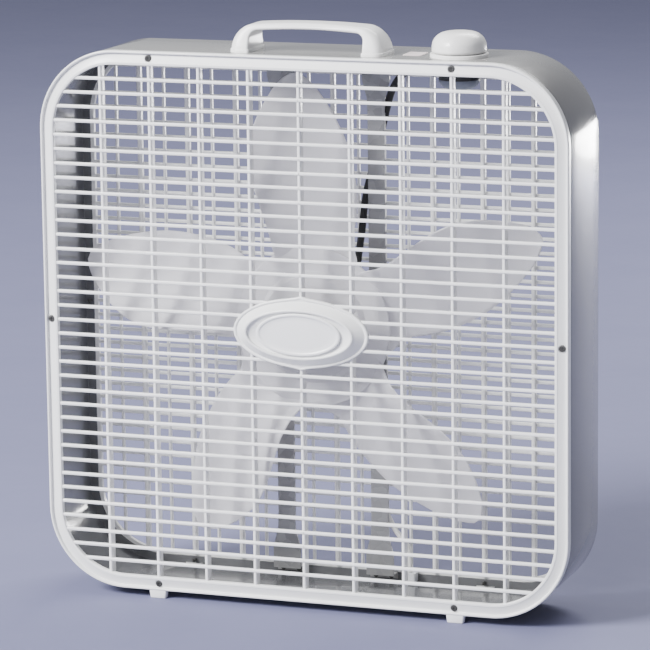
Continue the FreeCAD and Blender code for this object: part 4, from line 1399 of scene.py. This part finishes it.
@dataclass
class Studio:
    """Camera, floor and soft light."""

    place: Vector = field(default_factory=lambda: Vector((1.2288, -3.40295, 0.9954)))
    yaw: float = -0.345
    pitch: float = 0.198
    roll: float = -0.012
    lens: float = 214.19
    shift: float = 0.0023
    floor_half: float = 30.0
    glow: float = 0.62

    def camera(self) -> None:
        """Set the camera."""
        tilt = Matrix.Rotation(self.roll, 3, "Y") @ Matrix.Rotation(self.pitch, 3, "X")
        look = tilt @ Matrix.Rotation(self.yaw, 3, "Z")
        data = bpy.data.cameras.new("camera")
        data.lens = self.lens
        data.sensor_width = 36.0
        data.shift_x = self.shift
        data.clip_end = 100.0
        made = bpy.data.objects.new("camera", data)
        turn = look.transposed() @ Matrix.Rotation(math.pi / 2, 3, "X")
        made.matrix_world = Matrix.Translation(self.place) @ turn.to_4x4()
        bpy.context.scene.collection.objects.link(made)
        bpy.context.scene.camera = made

    def floor(self) -> None:
        """Lay a plain pale floor."""
        half = self.floor_half
        mesh = bpy.data.meshes.new("floor")
        mesh.from_pydata([(-half, -half, 0), (half, -half, 0), (half, half, 0), (-half, half, 0)], [], [(0, 1, 2, 3)])
        made = bpy.data.objects.new("floor", mesh)
        finish = Finish("floor_pale", "floor", (0.150, 0.155, 0.265), (0.142, 0.147, 0.255), 0.7, 0.1, grain=0.0001,
                        size=300.0)
        mesh.materials.append(finish.build())
        bpy.context.scene.collection.objects.link(made)

    def light(self) -> None:
        """Hang the lights and set the surrounding glow."""
        world = bpy.data.worlds.new("studio")
        world.use_nodes = True
        world.node_tree.nodes.clear()
        paint = Paint(world.node_tree)
        x, y, _ = paint.parts(paint.out("ShaderNodeTexCoord", {}, {}, "Generated"))
        share = paint.spread(x + y * 0.15, -0.35, 0.35)
        glow = paint.blend(share, (0.84, 0.86, 0.92), (0.36, 0.37, 0.42))
        shader = paint.out("ShaderNodeBackground", {}, {"Color": glow, "Strength": self.glow})
        paint.node("ShaderNodeOutputWorld", {}, {"Surface": shader})
        bpy.context.scene.world = world
        aim = Vector((0.0, 0.0, 0.27))
        for lamp in (Lamp("key", Vector((-2.6, -3.0, 3.0)), aim, 1.8, 1.8, 700.0),
                     Lamp("fill", Vector((0.4, -3.8, 1.6)), aim, 2.4, 2.0, 34.0),
                     Lamp("rim", Vector((0.4, 2.6, 2.8)), aim, 2.0, 1.2, 120.0),
                     Lamp("pool", Vector((1.05, 2.7, 0.16)), Vector((0.9, 1.4, 0.0)), 0.9, 0.28, 28.0)):
            lamp.build()

    def build(self) -> None:
        """Set up the whole studio."""
        self.camera()
        self.floor()
        self.light()


def main() -> None:
    """Build the fan."""
    logging.basicConfig(level=logging.INFO, format="%(message)s")
    Studio().build()
    shop = Paintshop()
    shop.dress_frame()
    for part in (Band(shop), Grille(shop, Side.FRONT), Grille(shop, Side.REAR), Centrepiece(shop), Impeller(shop),
                 Handle(shop), Knob(shop)):
        part.build()


if __name__ == "__main__":
    main()
